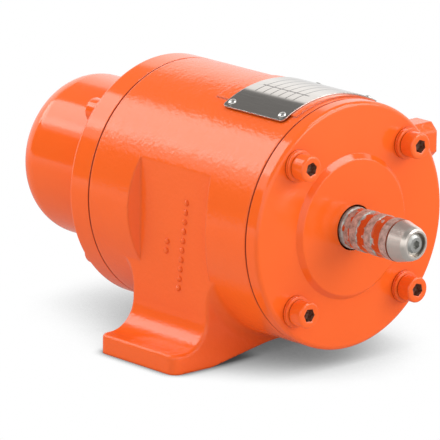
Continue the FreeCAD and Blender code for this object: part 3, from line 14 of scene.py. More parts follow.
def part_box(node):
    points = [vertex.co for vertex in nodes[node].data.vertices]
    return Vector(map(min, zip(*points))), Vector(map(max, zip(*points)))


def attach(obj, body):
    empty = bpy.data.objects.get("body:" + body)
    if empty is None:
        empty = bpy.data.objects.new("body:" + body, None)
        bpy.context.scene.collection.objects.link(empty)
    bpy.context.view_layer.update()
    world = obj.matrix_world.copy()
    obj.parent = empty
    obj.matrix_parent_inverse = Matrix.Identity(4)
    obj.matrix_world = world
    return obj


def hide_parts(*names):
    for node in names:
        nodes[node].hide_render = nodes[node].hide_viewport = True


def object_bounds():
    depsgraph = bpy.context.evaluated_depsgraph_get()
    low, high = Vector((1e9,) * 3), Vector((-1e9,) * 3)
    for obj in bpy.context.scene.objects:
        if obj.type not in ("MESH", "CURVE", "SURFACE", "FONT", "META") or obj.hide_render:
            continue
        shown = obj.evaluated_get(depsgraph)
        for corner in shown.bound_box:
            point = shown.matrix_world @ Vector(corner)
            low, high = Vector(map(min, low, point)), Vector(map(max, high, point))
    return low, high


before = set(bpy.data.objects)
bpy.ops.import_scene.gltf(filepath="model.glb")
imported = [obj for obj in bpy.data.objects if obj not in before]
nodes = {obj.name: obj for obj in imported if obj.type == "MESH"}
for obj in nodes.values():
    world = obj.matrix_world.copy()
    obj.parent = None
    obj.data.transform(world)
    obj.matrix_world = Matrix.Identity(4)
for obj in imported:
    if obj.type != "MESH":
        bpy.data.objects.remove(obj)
cad_low, cad_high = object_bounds()


# ---------------------------------------------------------------- motor housing
# Grey iron casting with the barrel, both legs, the foot and the cable boss in one piece. It is shot
# blasted and sprayed with orange alkyd enamel, which keeps some of the sand's texture under its gloss.

MM = 0.001
front_seam, rear_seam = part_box("motor_housing")[0][1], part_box("motor_housing")[1][1]
seam_crack, crevice_shade_reach, cloud_size = 0.84 * MM, 1.6 * MM, 30 * MM
front_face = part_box("front_shield")[0][1]
shaft_height = (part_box("front_shield")[0][2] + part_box("front_shield")[1][2]) / 2


def colour(hex_text):
    """An sRGB hex value as the linear colour that a shader socket takes."""
    channels = [int(hex_text[i:i + 2], 16) / 255 for i in (1, 3, 5)]
    return [c / 12.92 if c <= 0.04045 else ((c + 0.055) / 1.055) ** 2.4 for c in channels] + [1.0]


def add_node(tree, kind, inputs=None, **settings):
    """Adds a node with its settings; an input is a value or another node's output socket."""
    node = tree.nodes.new(kind)
    for name, value in settings.items():
        setattr(node, name, value)
    for name, value in (inputs or {}).items():
        if isinstance(value, bpy.types.NodeSocket):
            tree.links.new(value, node.inputs[name])
        else:
            node.inputs[name].default_value = value
    return node


def finish_shader(name, surface):
    """A new material whose nodes surface(tree, where) makes; where is the piece's own coordinates."""
    material = bpy.data.materials.new(name)
    material.use_nodes = True
    tree = material.node_tree
    tree.nodes.clear()
    where = add_node(tree, "ShaderNodeTexCoord").outputs["Object"]
    shader = surface(tree, where)
    add_node(tree, "ShaderNodeOutputMaterial", {"Surface": shader.outputs[0]})
    return material


def dress(node_name, material):
    """Gives a node of the frame its finish."""
    for slot in nodes[node_name].material_slots:
        slot.material = material


def enamel(tree, where, peel, peel_depth, grain, grain_depth, gloss, edge):
    """Sprayed alkyd enamel over edges rounded by edge metres: a glossy, saturated film with orange peel
    that shows in its highlights, over a coarser grain of the casting's sand. Painted shade darkens the
    colour in crevices, as far as ambient occlusion finds them, and a dull dark crack runs where two
    castings meet."""
    sprayed, thin, painted_shade_tint = colour("#F96824"), colour("#F5621E"), colour("#942C0A")
    cloud = add_node(tree, "ShaderNodeTexNoise", {"Vector": where, "Scale": 1 / cloud_size,
                                                  "Detail": 2.0})
    film = add_node(tree, "ShaderNodeMix", {0: cloud.outputs[0], 6: thin, 7: sprayed}, data_type="RGBA")
    # Painted shade: where ambient occlusion finds a crevice close by, the colour is darkened towards
    # dark red.
    hollow = add_node(tree, "ShaderNodeAmbientOcclusion", {"Distance": crevice_shade_reach}, samples=6)
    unshaded = add_node(tree, "ShaderNodeMapRange", {"Value": hollow.outputs["AO"], "From Min": 0.25,
                                                  "From Max": 0.60})
    along = add_node(tree, "ShaderNodeSeparateXYZ", {"Vector": where})
    front_crack = add_node(tree, "ShaderNodeMath", {
        0: along.outputs["Y"], 1: front_seam, 2: seam_crack / 2}, operation="COMPARE")
    rear_crack = add_node(tree, "ShaderNodeMath", {
        0: along.outputs["Y"], 1: rear_seam, 2: seam_crack / 2}, operation="COMPARE")
    crack = add_node(tree, "ShaderNodeMath", {0: front_crack.outputs[0], 1: rear_crack.outputs[0]},
                     operation="MAXIMUM")
    whole = add_node(tree, "ShaderNodeMath", {0: unshaded.outputs[0], 1: crack.outputs[0]},
                     operation="SUBTRACT", use_clamp=True)
    tint = add_node(tree, "ShaderNodeMix", {0: whole.outputs[0], 6: painted_shade_tint, 7: film.outputs[2]},
                    data_type="RGBA")
    rounded = add_node(tree, "ShaderNodeBevel", {"Radius": edge}, samples=4)
    sand = add_node(tree, "ShaderNodeTexNoise", {"Vector": where, "Scale": 1 / grain, "Detail": 3.0})
    low = add_node(tree, "ShaderNodeBump", {"Height": sand.outputs[0], "Distance": grain_depth,
                                            "Strength": 1.0, "Normal": rounded.outputs[0]})
    skin = add_node(tree, "ShaderNodeTexNoise", {"Vector": where, "Scale": 1 / peel, "Detail": 1.5,
                                                 "Roughness": 0.45})
    high = add_node(tree, "ShaderNodeBump", {"Height": skin.outputs[0], "Distance": peel_depth,
                                             "Strength": 1.0, "Normal": low.outputs[0]})
    film_rough = add_node(tree, "ShaderNodeMapRange", {"Value": skin.outputs[0], "To Min": gloss - 0.03,
                                                       "To Max": gloss + 0.05})
    rough = add_node(tree, "ShaderNodeMix", {0: crack.outputs[0], 2: film_rough.outputs[0], 3: 0.95},
                     data_type="FLOAT")
    return add_node(tree, "ShaderNodeBsdfPrincipled", {
        "Base Color": tint.outputs[2], "Roughness": rough.outputs[0], "IOR": 1.5,
        "Normal": high.outputs[0]})


cast_enamel = finish_shader("orange_enamel_on_casting", lambda tree, where: enamel(
    tree, where, peel=1.8 * MM, peel_depth=0.12 * MM, grain=8 * MM, grain_depth=0.15 * MM, gloss=0.16,
    edge=1.8 * MM))
dress("motor_housing", cast_enamel)

# ---------------------------------------------------------------- cast pips
# Two plain rows of raised pips on the leg, cast with the housing from a stamped pattern and sprayed
# with it. They say nothing; they only break the flat as foundry marks do.

pip_radius, pip_rise, pip_root = 1.6 * MM, 1.2 * MM, 0.3 * MM
pip_pitch, pip_lean = 4.9 * MM, 0.6 * MM
leg_face, sharp_from = -56.0 * MM, math.radians(38)


def turned(name, rings, steps, closed=False):
    """A mesh turned about Z from rings of (radius, height), or (radius, height, "hex") for a ring with
    six flats whose radius is to the flats' middles. The faces after such a ring are marked socket."""
    shape = bmesh.new()
    mark = shape.faces.layers.int.new("socket")
    rows = []
    for ring in rings:
        radius, height, six = ring[0], ring[1], len(ring) > 2
        row = []
        for i in range(steps if radius > 0 else 1):
            turn = 2 * math.pi * i / steps
            reach = radius / math.cos(turn % (math.pi / 3) - math.pi / 6) if six else radius
            row.append(shape.verts.new((reach * math.cos(turn), reach * math.sin(turn), height)))
        rows.append((row, six))
    pairs = list(zip(rows, rows[1:])) + ([(rows[-1], rows[0])] if closed else [])
    for (lower, lower_six), (upper, _) in pairs:
        for i in range(steps):
            ends = [lower[i % len(lower)], lower[(i + 1) % len(lower)],
                    upper[(i + 1) % len(upper)], upper[i % len(upper)]]
            corners = [v for k, v in enumerate(ends) if v not in ends[:k]]
            if len(corners) > 2:
                shape.faces.new(corners)[mark] = int(lower_six)
    bmesh.ops.recalc_face_normals(shape, faces=shape.faces)
    mesh = bpy.data.meshes.new(name)
    shape.to_mesh(mesh)
    shape.free()
    return mesh


def pattern_tree(name, sizes):
    """A geometry tree with named inputs; sizes is a list of (name, socket type)."""
    tree = bpy.data.node_groups.new(name, "GeometryNodeTree")
    shared = [("Piece", "NodeSocketObject"), ("Seed", "NodeSocketInt"),
              ("Finish", "NodeSocketMaterial"), ("Socket Finish", "NodeSocketMaterial")]
    for label, kind in sizes + shared:
        tree.interface.new_socket(name=label, in_out="INPUT", socket_type=kind)
    tree.interface.new_socket(name="Geometry", in_out="OUTPUT", socket_type="NodeSocketGeometry")
    return tree, tree.nodes.new("NodeGroupInput").outputs


def finish_pattern(tree, given, points, turn):
    """Sets the piece on the points with the turn, each turned at random about its own axis, then makes
    all of it real and gives it its finishes."""
    piece = add_node(tree, "GeometryNodeObjectInfo", {"Object": given["Piece"]})
    loose = add_node(tree, "FunctionNodeRandomValue", {2: 0.0, 3: 2 * math.pi, "Seed": given["Seed"]},
                     data_type="FLOAT")
    about = add_node(tree, "ShaderNodeCombineXYZ", {"Z": loose.outputs[1]})
    set_out = add_node(tree, "GeometryNodeInstanceOnPoints", {
        "Points": points, "Instance": piece.outputs["Geometry"], "Rotation": turn})
    spun = add_node(tree, "GeometryNodeRotateInstances", {
        "Instances": set_out.outputs[0], "Rotation": about.outputs[0], "Local Space": True})
    real = add_node(tree, "GeometryNodeRealizeInstances", {"Geometry": spun.outputs[0]})
    coat = add_node(tree, "GeometryNodeSetMaterial", {"Geometry": real.outputs[0],
                                                      "Material": given["Finish"]})
    inside = add_node(tree, "GeometryNodeInputNamedAttribute", {"Name": "socket"}, data_type="INT")
    bare = add_node(tree, "GeometryNodeSetMaterial", {
        "Geometry": coat.outputs[0], "Selection": inside.outputs[0],
        "Material": given["Socket Finish"]})
    add_node(tree, "NodeGroupOutput", {0: bare.outputs[0]})


def grow(name, tree, shape, values):
    """The plain mesh that a tree makes from one shape, as a piece that rides on the casing."""
    helper = bpy.data.objects.new(name + "_single", shape)
    piece = bpy.data.objects.new(name, bpy.data.meshes.new(name))
    for obj in (helper, piece):
        bpy.context.scene.collection.objects.link(obj)
    maker = piece.modifiers.new("maker", "NODES")
    maker.node_group = tree
    for item in tree.interface.items_tree:
        if item.in_out == "INPUT":
            maker[item.identifier] = dict(values, Piece=helper)[item.name]
    grown = bpy.data.meshes.new_from_object(
        piece.evaluated_get(bpy.context.evaluated_depsgraph_get()))
    piece.modifiers.remove(maker)
    bpy.data.objects.remove(helper)
    piece.data = grown
    grown.name = name
    grown.shade_smooth()
    grown.set_sharp_from_angle(angle=sharp_from)
    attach(piece, "casing")
    return piece


def arc(middle_radius, middle_height, radius, start, end, steps):
    """Points of (radius, height) on an arc of a turned outline, from start to end degrees."""
    turns = [math.radians(start + (end - start) * i / steps) for i in range(steps + 1)]
    return [(middle_radius + radius * math.cos(t), middle_height + radius * math.sin(t)) for t in turns]


pip_rows, given = pattern_tree("row_of_pips", [
    ("Count", "NodeSocketInt"), ("First", "NodeSocketVector"), ("Step", "NodeSocketVector"),
    ("Facing", "NodeSocketVector")])
row = add_node(pip_rows, "GeometryNodeMeshLine", {
    "Count": given["Count"], "Start Location": given["First"], "Offset": given["Step"]})
finish_pattern(pip_rows, given, row.outputs[0], given["Facing"])
dome = [(0.0, -pip_root), (pip_radius, -pip_root), (pip_radius, 0.0)] + [
    (pip_radius * math.cos(t), pip_rise * math.sin(t)) for t in (0.4, 0.8, 1.2)] + [(0.0, pip_rise)]
for name, count, first in (("long_pip_row", 10, (leg_face, -23.6 * MM, 80.5 * MM)),
                           ("short_pip_row", 2, (leg_face, -9.6 * MM, 58.5 * MM))):
    grow(name, pip_rows, turned(name + "_pip", dome, steps=16), {
        "Count": count, "First": first, "Step": (0.0, pip_lean, -pip_pitch),
        "Facing": (0.0, math.radians(-90), 0.0), "Seed": 3,
        "Finish": cast_enamel, "Socket Finish": cast_enamel})

# ---------------------------------------------------------------- front shield and rear cover
# Turned from iron castings, so their enamel lies on a machined face. It is smoother and glossier than
# on the housing, and its highlights have sharper ends.

smooth_enamel = finish_shader("orange_enamel_on_turned_iron", lambda tree, where: enamel(
    tree, where, peel=1.6 * MM, peel_depth=0.012 * MM, grain=16 * MM, grain_depth=0.05 * MM, gloss=0.11,
    edge=0.4 * MM))
dress("front_shield", smooth_enamel)
dress("rear_cover", smooth_enamel)

# ---------------------------------------------------------------- joint screws
# Four M8 socket screws of strength 8.8 hold each end to the housing. They were driven before the motor
# was sprayed, so their heads are enamelled and only the hexagons keep bare steel and dried paint.

thread, thread_point = 4.0 * MM, 0.8 * MM
head, head_round, head_chamfer = 6.5 * MM, 1.0 * MM, 0.4 * MM
hexagon_half, hexagon_depth, hexagon_drill = 3.0 * MM, 4.0 * MM, 1.4 * MM
hexagon_mouth, mouth_depth = 3.82 * MM, 0.3 * MM


def dark_steel(tree, where):
    """Blackened steel with dried overspray: dull and red-brown, with grey where a key has rubbed it."""
    patches = add_node(tree, "ShaderNodeTexNoise", {"Vector": where, "Scale": 1 / (1.2 * MM),
                                                    "Detail": 3.0})
    tint = add_node(tree, "ShaderNodeValToRGB", {"Fac": patches.outputs[0]})
    tint.color_ramp.elements[0].position, tint.color_ramp.elements[0].color = 0.35, colour("#7A2E12")
    tint.color_ramp.elements[1].position, tint.color_ramp.elements[1].color = 0.75, colour("#9A8472")
    rough = add_node(tree, "ShaderNodeMapRange", {"Value": patches.outputs[0], "To Min": 0.35,
                                                  "To Max": 0.6})
    return add_node(tree, "ShaderNodeBsdfPrincipled", {
        "Base Color": tint.outputs[0], "Roughness": rough.outputs[0], "Metallic": 0.3})


socket_steel = finish_shader("blackened_steel_in_sockets", dark_steel)
screw_enamel = finish_shader("orange_enamel_on_screws", lambda tree, where: enamel(
    tree, where, peel=1.2 * MM, peel_depth=0.02 * MM, grain=5 * MM, grain_depth=0.03 * MM, gloss=0.13,
    edge=0.3 * MM))

screw_ring, given = pattern_tree("ring_of_screws", [
    ("Count", "NodeSocketInt"), ("Pitch Radius", "NodeSocketFloat"), ("Seat", "NodeSocketVector"),
    ("Facing", "NodeSocketVector")])
circle = add_node(screw_ring, "GeometryNodeMeshCircle", {"Vertices": given["Count"],
                                                         "Radius": given["Pitch Radius"]})
eighth = add_node(screw_ring, "GeometryNodeTransform", {"Geometry": circle.outputs[0],
                                                        "Rotation": (0.0, 0.0, math.radians(45))})
placed = add_node(screw_ring, "GeometryNodeTransform", {
    "Geometry": eighth.outputs[0], "Translation": given["Seat"], "Rotation": given["Facing"]})
finish_pattern(screw_ring, given, placed.outputs[0], given["Facing"])

for end, seed, facing in (("front", 11, 90), ("rear", 5, -90)):
    low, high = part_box(end + "_screws")
    tip, top = (high[1], low[1]) if facing > 0 else (low[1], high[1])
    washer_low, washer_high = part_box(end + "_lock_washers")
    seat = washer_low[1] if facing > 0 else washer_high[1]
    face = washer_high[1] if facing > 0 else washer_low[1]
    grip, rise = abs(seat - tip), abs(top - seat)
    pitch = (high[0] - head) * math.sqrt(2)
    outline = [(0.0, -grip), (thread - thread_point, -grip), (thread, thread_point - grip),
               (thread, 0.0), (head - head_chamfer, 0.0), (head, head_chamfer)]
    outline += arc(head - head_round, rise - head_round, head_round, 0, 90, 5)
    outline += [(hexagon_mouth, rise), (hexagon_half, rise - mouth_depth, "hex"),
                (hexagon_half, rise - hexagon_depth, "hex"),
                (0.0, rise - hexagon_depth - hexagon_drill)]
    screws = grow(end + "_joint_screws", screw_ring, turned(end + "_screw", outline, steps=48), {
        "Count": 4, "Pitch Radius": pitch, "Seat": (0.0, seat, shaft_height),
        "Facing": (math.radians(facing), 0.0, 0.0), "Seed": seed,
        "Finish": screw_enamel, "Socket Finish": socket_steel})
    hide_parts(end + "_screws")

    # A pair of wedge-lock washers lies under each head. Both are sprayed with the motor, and a groove
    # is left between their two halves, dark from its own shade and from the enamel's painted shade.
    bore, rim, half = 4.35 * MM, 7.9 * MM, abs(face - seat) / 2
    bore_edge, rim_edge, edge_in, edge_up = 0.2 * MM, 0.35 * MM, 0.10 * MM, 0.12 * MM
    washer = []
    for base in (0.0, half):
        lid = base + half
        washer += [(rim - rim_edge, base), (rim - edge_in, base + edge_up), (rim, base + rim_edge),
                   (rim, lid - rim_edge), (rim - edge_in, lid - edge_up), (rim - rim_edge, lid)]
    washer += [(bore + bore_edge, 2 * half), (bore, 2 * half - bore_edge), (bore, bore_edge),
               (bore + bore_edge, 0.0)]
    pair = turned(end + "_washer", washer, steps=48, closed=True)
    washers = grow(end + "_washer_pairs", screw_ring, pair, {
        "Count": 4, "Pitch Radius": pitch, "Seat": (0.0, face, shaft_height),
        "Facing": (math.radians(facing), 0.0, 0.0), "Seed": seed + 1,
        "Finish": screw_enamel, "Socket Finish": screw_enamel})
    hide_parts(end + "_lock_washers")

# ---------------------------------------------------------------- nameplate
# Stainless sheet of 0.8 mm, rolled to the barrel, brushed along the motor and laser marked with ruled
# empty fields. It says nothing, and its owner fills it in.

rule_pitch, rule_share, rule_middle, rule_reach = 5.4 * MM, 0.11, 0.03, 0.30
field_middle, field_half = -44.0 * MM, 16.5 * MM
divider_turn, divider_half = -0.15, 0.006
brush_width, brush_stretch = 0.5 * MM, 25


def ruled_plate(tree, where):
    """Brushed stainless steel with darker ruled lines: a grey mirror that the brushing blurs along the
    motor, so that it parts sharply into light and dark. The 0.15 mm brush marks are drawn 0.5 mm wide.
    Angles about the shaft are in radians."""
    along = add_node(tree, "ShaderNodeSeparateXYZ", {"Vector": where})
    level = add_node(tree, "ShaderNodeMath", {0: along.outputs["Z"], 1: shaft_height},
                     operation="SUBTRACT")
    turn = add_node(tree, "ShaderNodeMath", {0: along.outputs["X"], 1: level.outputs[0]},
                    operation="ARCTAN2")
    step = add_node(tree, "ShaderNodeMath", {0: along.outputs["Y"], 1: rule_pitch}, operation="DIVIDE")
    part = add_node(tree, "ShaderNodeMath", {0: step.outputs[0]}, operation="FRACT")
    rule = add_node(tree, "ShaderNodeMath", {0: part.outputs[0], 1: 0.5, 2: rule_share / 2},
                    operation="COMPARE")
    span = add_node(tree, "ShaderNodeMath", {0: turn.outputs[0], 1: rule_middle, 2: rule_reach},
                    operation="COMPARE")
    field = add_node(tree, "ShaderNodeMath", {0: along.outputs["Y"], 1: field_middle, 2: field_half},
                     operation="COMPARE")
    rows_only = add_node(tree, "ShaderNodeMath", {0: rule.outputs[0], 1: span.outputs[0]},
                         operation="MULTIPLY")
    split = add_node(tree, "ShaderNodeMath", {0: turn.outputs[0], 1: divider_turn, 2: divider_half},
                     operation="COMPARE")
    lines = add_node(tree, "ShaderNodeMath", {0: rows_only.outputs[0], 1: split.outputs[0]},
                     operation="MAXIMUM")
    marked = add_node(tree, "ShaderNodeMath", {0: lines.outputs[0], 1: field.outputs[0]},
                      operation="MULTIPLY")
    drawn = add_node(tree, "ShaderNodeMapping", {"Vector": where,
                                                 "Scale": (1, 1 / brush_stretch, 1)})
    brush = add_node(tree, "ShaderNodeTexNoise", {"Vector": drawn.outputs[0],
                                                  "Scale": 1 / brush_width, "Detail": 2.0})
    steel_tint = add_node(tree, "ShaderNodeMix", {0: brush.outputs[0], 6: colour("#B9B3AD"),
                                                  7: colour("#CFCAC4")}, data_type="RGBA")
    tint = add_node(tree, "ShaderNodeMix", {0: marked.outputs[0], 6: steel_tint.outputs[2],
                                            7: colour("#4C4642")}, data_type="RGBA")
    rough = add_node(tree, "ShaderNodeMapRange", {"Value": brush.outputs[0], "To Min": 0.05,
                                                  "To Max": 0.10})
    rounded = add_node(tree, "ShaderNodeBevel", {"Radius": 0.5 * MM}, samples=4)
    low = add_node(tree, "ShaderNodeBump", {"Height": brush.outputs[0], "Distance": 0.002 * MM,
                                            "Strength": 1.0, "Normal": rounded.outputs[0]})
    return add_node(tree, "ShaderNodeBsdfPrincipled", {
        "Base Color": tint.outputs[2], "Roughness": rough.outputs[0], "Metallic": 1.0,
        "Normal": low.outputs[0]})


dress("nameplate", finish_shader("brushed_stainless_sheet", ruled_plate))

# ---------------------------------------------------------------- nameplate rivets
# Four aluminium drive rivets with domed heads, 4.2 mm wide, hammered in through the plate's corners
# into blind holes of the pad.

rivet_head, rivet_rise, rivet_shank, rivet_depth = 2.1 * MM, 1.1 * MM, 1.1 * MM, 4.0 * MM
rivet_turn, rivet_seat = math.radians(27), 0.05 * MM
rivet_low, rivet_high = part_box("nameplate_rivets")


def soft_aluminium(tree, where):
    """Hammered aluminium: pale, with a soft shine and small dents."""
    dents = add_node(tree, "ShaderNodeTexNoise", {"Vector": where, "Scale": 1 / (0.9 * MM),
                                                  "Detail": 2.0})
    tint = add_node(tree, "ShaderNodeMix", {0: dents.outputs[0], 6: colour("#C4C2BE"),
                                            7: colour("#E2E0DC")}, data_type="RGBA")
    rough = add_node(tree, "ShaderNodeMapRange", {"Value": dents.outputs[0], "To Min": 0.22,
                                                  "To Max": 0.36})
    low = add_node(tree, "ShaderNodeBump", {"Height": dents.outputs[0], "Distance": 0.02 * MM,
                                            "Strength": 1.0})
    return add_node(tree, "ShaderNodeBsdfPrincipled", {
        "Base Color": tint.outputs[2], "Roughness": rough.outputs[0], "Metallic": 1.0,
        "Normal": low.outputs[0]})


rivet_metal = finish_shader("hammered_aluminium", soft_aluminium)
rivet_grid, given = pattern_tree("rivets_on_a_cylinder", [
    ("Angle", "NodeSocketFloat"), ("Length", "NodeSocketFloat"), ("Radius", "NodeSocketFloat"),
    ("Middle", "NodeSocketVector")])
spread = add_node(rivet_grid, "ShaderNodeMath", {0: given["Angle"], 1: 2.0}, operation="MULTIPLY")
grid = add_node(rivet_grid, "GeometryNodeMeshGrid", {
    "Size X": spread.outputs[0], "Size Y": given["Length"], "Vertices X": 2, "Vertices Y": 2})
flat = add_node(rivet_grid, "ShaderNodeSeparateXYZ", {
    "Vector": add_node(rivet_grid, "GeometryNodeInputPosition").outputs[0]})
across = add_node(rivet_grid, "ShaderNodeMath", {0: flat.outputs["X"]}, operation="SINE")
above = add_node(rivet_grid, "ShaderNodeMath", {0: flat.outputs["X"]}, operation="COSINE")
sideways = add_node(rivet_grid, "ShaderNodeMath", {0: across.outputs[0], 1: given["Radius"]},
                    operation="MULTIPLY")
upwards = add_node(rivet_grid, "ShaderNodeMath", {0: above.outputs[0], 1: given["Radius"]},
                   operation="MULTIPLY")
bent = add_node(rivet_grid, "ShaderNodeCombineXYZ", {
    "X": sideways.outputs[0], "Y": flat.outputs["Y"], "Z": upwards.outputs[0]})
kept = add_node(rivet_grid, "GeometryNodeStoreNamedAttribute", {
    "Geometry": grid.outputs["Mesh"], "Name": "turn", "Value": flat.outputs["X"]}, data_type="FLOAT",
    domain="POINT")
rolled = add_node(rivet_grid, "GeometryNodeSetPosition", {
    "Geometry": kept.outputs[0], "Position": bent.outputs[0], "Offset": given["Middle"]})
own_turn = add_node(rivet_grid, "GeometryNodeInputNamedAttribute", {"Name": "turn"}, data_type="FLOAT")
tilt = add_node(rivet_grid, "ShaderNodeCombineXYZ", {"Y": own_turn.outputs[0]})
finish_pattern(rivet_grid, given, rolled.outputs[0], tilt.outputs[0])

rivet = [(0.0, -rivet_depth), (rivet_shank, -rivet_depth), (rivet_shank, 0.0), (rivet_head, 0.0)]
rivet += [(rivet_head * math.cos(t), rivet_rise * math.sin(t)) for t in (0.25, 0.5, 0.75, 1.0, 1.25)]
rivet += [(0.0, rivet_rise)]
plate_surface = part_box("nameplate")[1][2] - shaft_height
rivets = grow("nameplate_drive_rivets", rivet_grid, turned("drive_rivet", rivet, steps=28), {
    "Angle": rivet_turn, "Length": rivet_high[1] - rivet_low[1] - 2 * rivet_head,
    "Radius": plate_surface + rivet_seat,
    "Middle": (0.0, (rivet_low[1] + rivet_high[1]) / 2, shaft_height), "Seed": 2,
    "Finish": rivet_metal, "Socket Finish": rivet_metal})
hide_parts("nameplate_rivets")

# ---------------------------------------------------------------- shaft
# Alloy steel, turned and tempered to a mottled grey skin. The motor was sprayed with its drive stub in
# place and the lands were wiped, so enamel stays in the grooves, and most of it towards the nose.

stub_radius, wiped_depth = 10.5 * MM, 0.45 * MM
stub_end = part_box("motor_shaft")[0][1]
joint_line, clean_end, thick_end = 0.45 * MM, 1.5 * MM, 12 * MM
film_most, film_least, smear_depth = 0.12 * MM, -0.15 * MM, 0.28 * MM


def from_axis(tree, where):
    """Distance of a point from the shaft's axis."""
    flat = add_node(tree, "ShaderNodeVectorMath", {0: where, 1: (1.0, 0.0, 1.0)}, operation="MULTIPLY")
    centred = add_node(tree, "ShaderNodeVectorMath", {0: flat.outputs[0], 1: (0.0, 0.0, shaft_height)},
                       operation="SUBTRACT")
    return add_node(tree, "ShaderNodeVectorMath", {0: centred.outputs[0]}, operation="LENGTH")


def painted_shaft(tree, where):
    """Tempered steel, whose oxide hides half of the metal's shine, with glossy enamel wherever the
    surface lies below the wiped lands of the stub. The steel turns darker red-brown in a thin ring
    where the stub meets the nose, and everywhere behind the casing's face."""
    blotch = add_node(tree, "ShaderNodeTexNoise", {"Vector": where, "Scale": 1 / (2.2 * MM),
                                                   "Detail": 4.0, "Roughness": 0.6})
    skin = add_node(tree, "ShaderNodeValToRGB", {"Fac": blotch.outputs[0]})
    skin.color_ramp.elements[0].position, skin.color_ramp.elements[0].color = 0.32, colour("#8A8780")
    skin.color_ramp.elements[1].position, skin.color_ramp.elements[1].color = 0.64, colour("#C4C4BE")
    rough = add_node(tree, "ShaderNodeMapRange", {"Value": blotch.outputs[0], "To Min": 0.50,
                                                  "To Max": 0.34})
    marks = add_node(tree, "ShaderNodeBump", {"Height": blotch.outputs[0], "Distance": 0.02 * MM,
                                              "Strength": 1.0})
    along = add_node(tree, "ShaderNodeSeparateXYZ", {"Vector": where})
    joint = add_node(tree, "ShaderNodeMath", {0: along.outputs["Y"], 1: stub_end, 2: joint_line},
                     operation="COMPARE")
    inside = add_node(tree, "ShaderNodeMath", {0: along.outputs["Y"], 1: front_face},
                      operation="GREATER_THAN")
    # Darker red-brown in a thin ring at the nose and everywhere behind the casing's face.
    darker_band = add_node(tree, "ShaderNodeMath", {0: joint.outputs[0], 1: inside.outputs[0]},
                    operation="MAXIMUM")
    banded = add_node(tree, "ShaderNodeMix", {0: darker_band.outputs[0], 6: skin.outputs[0],
                                              7: colour("#7A3418")}, data_type="RGBA")
    bare = add_node(tree, "ShaderNodeBsdfPrincipled", {
        "Base Color": banded.outputs[2], "Roughness": rough.outputs[0], "Metallic": 0.45,
        "Normal": marks.outputs[0]})
    paint = add_node(tree, "ShaderNodeMix", {0: blotch.outputs[0], 6: colour("#AC3E18"),
                                             7: colour("#D2541E")}, data_type="RGBA")
    coated = add_node(tree, "ShaderNodeBsdfPrincipled", {
        "Base Color": paint.outputs[2], "Roughness": 0.28, "IOR": 1.5, "Normal": marks.outputs[0]})
    wiped = add_node(tree, "ShaderNodeTexNoise", {"Vector": where, "Scale": 1 / (5 * MM),
                                                  "Detail": 1.8})
    kept = add_node(tree, "ShaderNodeMapRange", {
        "Value": along.outputs["Y"], "From Min": stub_end + thick_end, "From Max": front_face,
        "To Min": film_most, "To Max": film_least})
    smear = add_node(tree, "ShaderNodeMapRange", {"Value": wiped.outputs[0], "From Min": 0.40,
                                                  "From Max": 0.60, "To Min": -smear_depth,
                                                  "To Max": smear_depth})
    film = add_node(tree, "ShaderNodeMath", {0: smear.outputs[0], 1: kept.outputs[0]}, operation="ADD")
    reach = add_node(tree, "ShaderNodeMath", {0: from_axis(tree, where).outputs["Value"],
                                              1: film.outputs[0]}, operation="SUBTRACT")
    low = add_node(tree, "ShaderNodeMath", {0: reach.outputs[0], 1: stub_radius - wiped_depth},
                   operation="LESS_THAN")
    ahead = add_node(tree, "ShaderNodeMath", {0: along.outputs["Y"], 1: front_face},
                     operation="LESS_THAN")
    behind = add_node(tree, "ShaderNodeMath", {0: along.outputs["Y"], 1: stub_end + clean_end},
                      operation="GREATER_THAN")
    stub = add_node(tree, "ShaderNodeMath", {0: ahead.outputs[0], 1: behind.outputs[0]},
                    operation="MULTIPLY")
    painted = add_node(tree, "ShaderNodeMath", {0: low.outputs[0], 1: stub.outputs[0]},
                       operation="MULTIPLY")
    return add_node(tree, "ShaderNodeMixShader", {0: painted.outputs[0], 1: bare.outputs[0],
                                                  2: coated.outputs[0]})


dress("motor_shaft", finish_shader("tempered_steel_with_paint_in_grooves", painted_shaft))

# ---------------------------------------------------------------- nose cone and nose screw
# The cone is stainless steel, turned and left bare. A countersunk screw of grey passivated steel
# clamps it to the shaft's end. Both are pale and softly bright, the screw the duller. Their turning
# marks, some 0.2 mm apart, are too fine to show and are drawn 1.1 mm apart.

turning_marks = 1.1 * MM


def turned_metal(tree, where, dark, light, feed, roughness, depth):
    """Bare metal from the lathe with turning marks feed metres apart round the shaft, which pull its
    highlights out across them."""
    along = add_node(tree, "ShaderNodeSeparateXYZ", {"Vector": where})
    place = add_node(tree, "ShaderNodeMath", {0: from_axis(tree, where).outputs["Value"],
                                              1: along.outputs["Y"]}, operation="SUBTRACT")
    count = add_node(tree, "ShaderNodeMath", {0: place.outputs[0], 1: feed}, operation="DIVIDE")
    marks = add_node(tree, "ShaderNodeTexNoise", {"W": count.outputs[0], "Scale": 1.0, "Detail": 2.0},
                     noise_dimensions="1D")
    cloud = add_node(tree, "ShaderNodeTexNoise", {"Vector": where, "Scale": 1 / (3 * MM),
                                                  "Detail": 3.0})
    both = add_node(tree, "ShaderNodeMix", {0: 0.5, 2: marks.outputs[0], 3: cloud.outputs[0]},
                    data_type="FLOAT")
    tint = add_node(tree, "ShaderNodeMix", {0: both.outputs[0], 6: colour(dark), 7: colour(light)},
                    data_type="RGBA")
    rough = add_node(tree, "ShaderNodeMapRange", {"Value": both.outputs[0], "From Min": 0.3,
                                                  "From Max": 0.7, "To Min": roughness[0],
                                                  "To Max": roughness[1]})
    low = add_node(tree, "ShaderNodeBump", {"Height": marks.outputs[0], "Distance": depth,
                                            "Strength": 1.0})
    return add_node(tree, "ShaderNodeBsdfPrincipled", {
        "Base Color": tint.outputs[2], "Roughness": rough.outputs[0], "Metallic": 1.0,
        "Normal": low.outputs[0]})


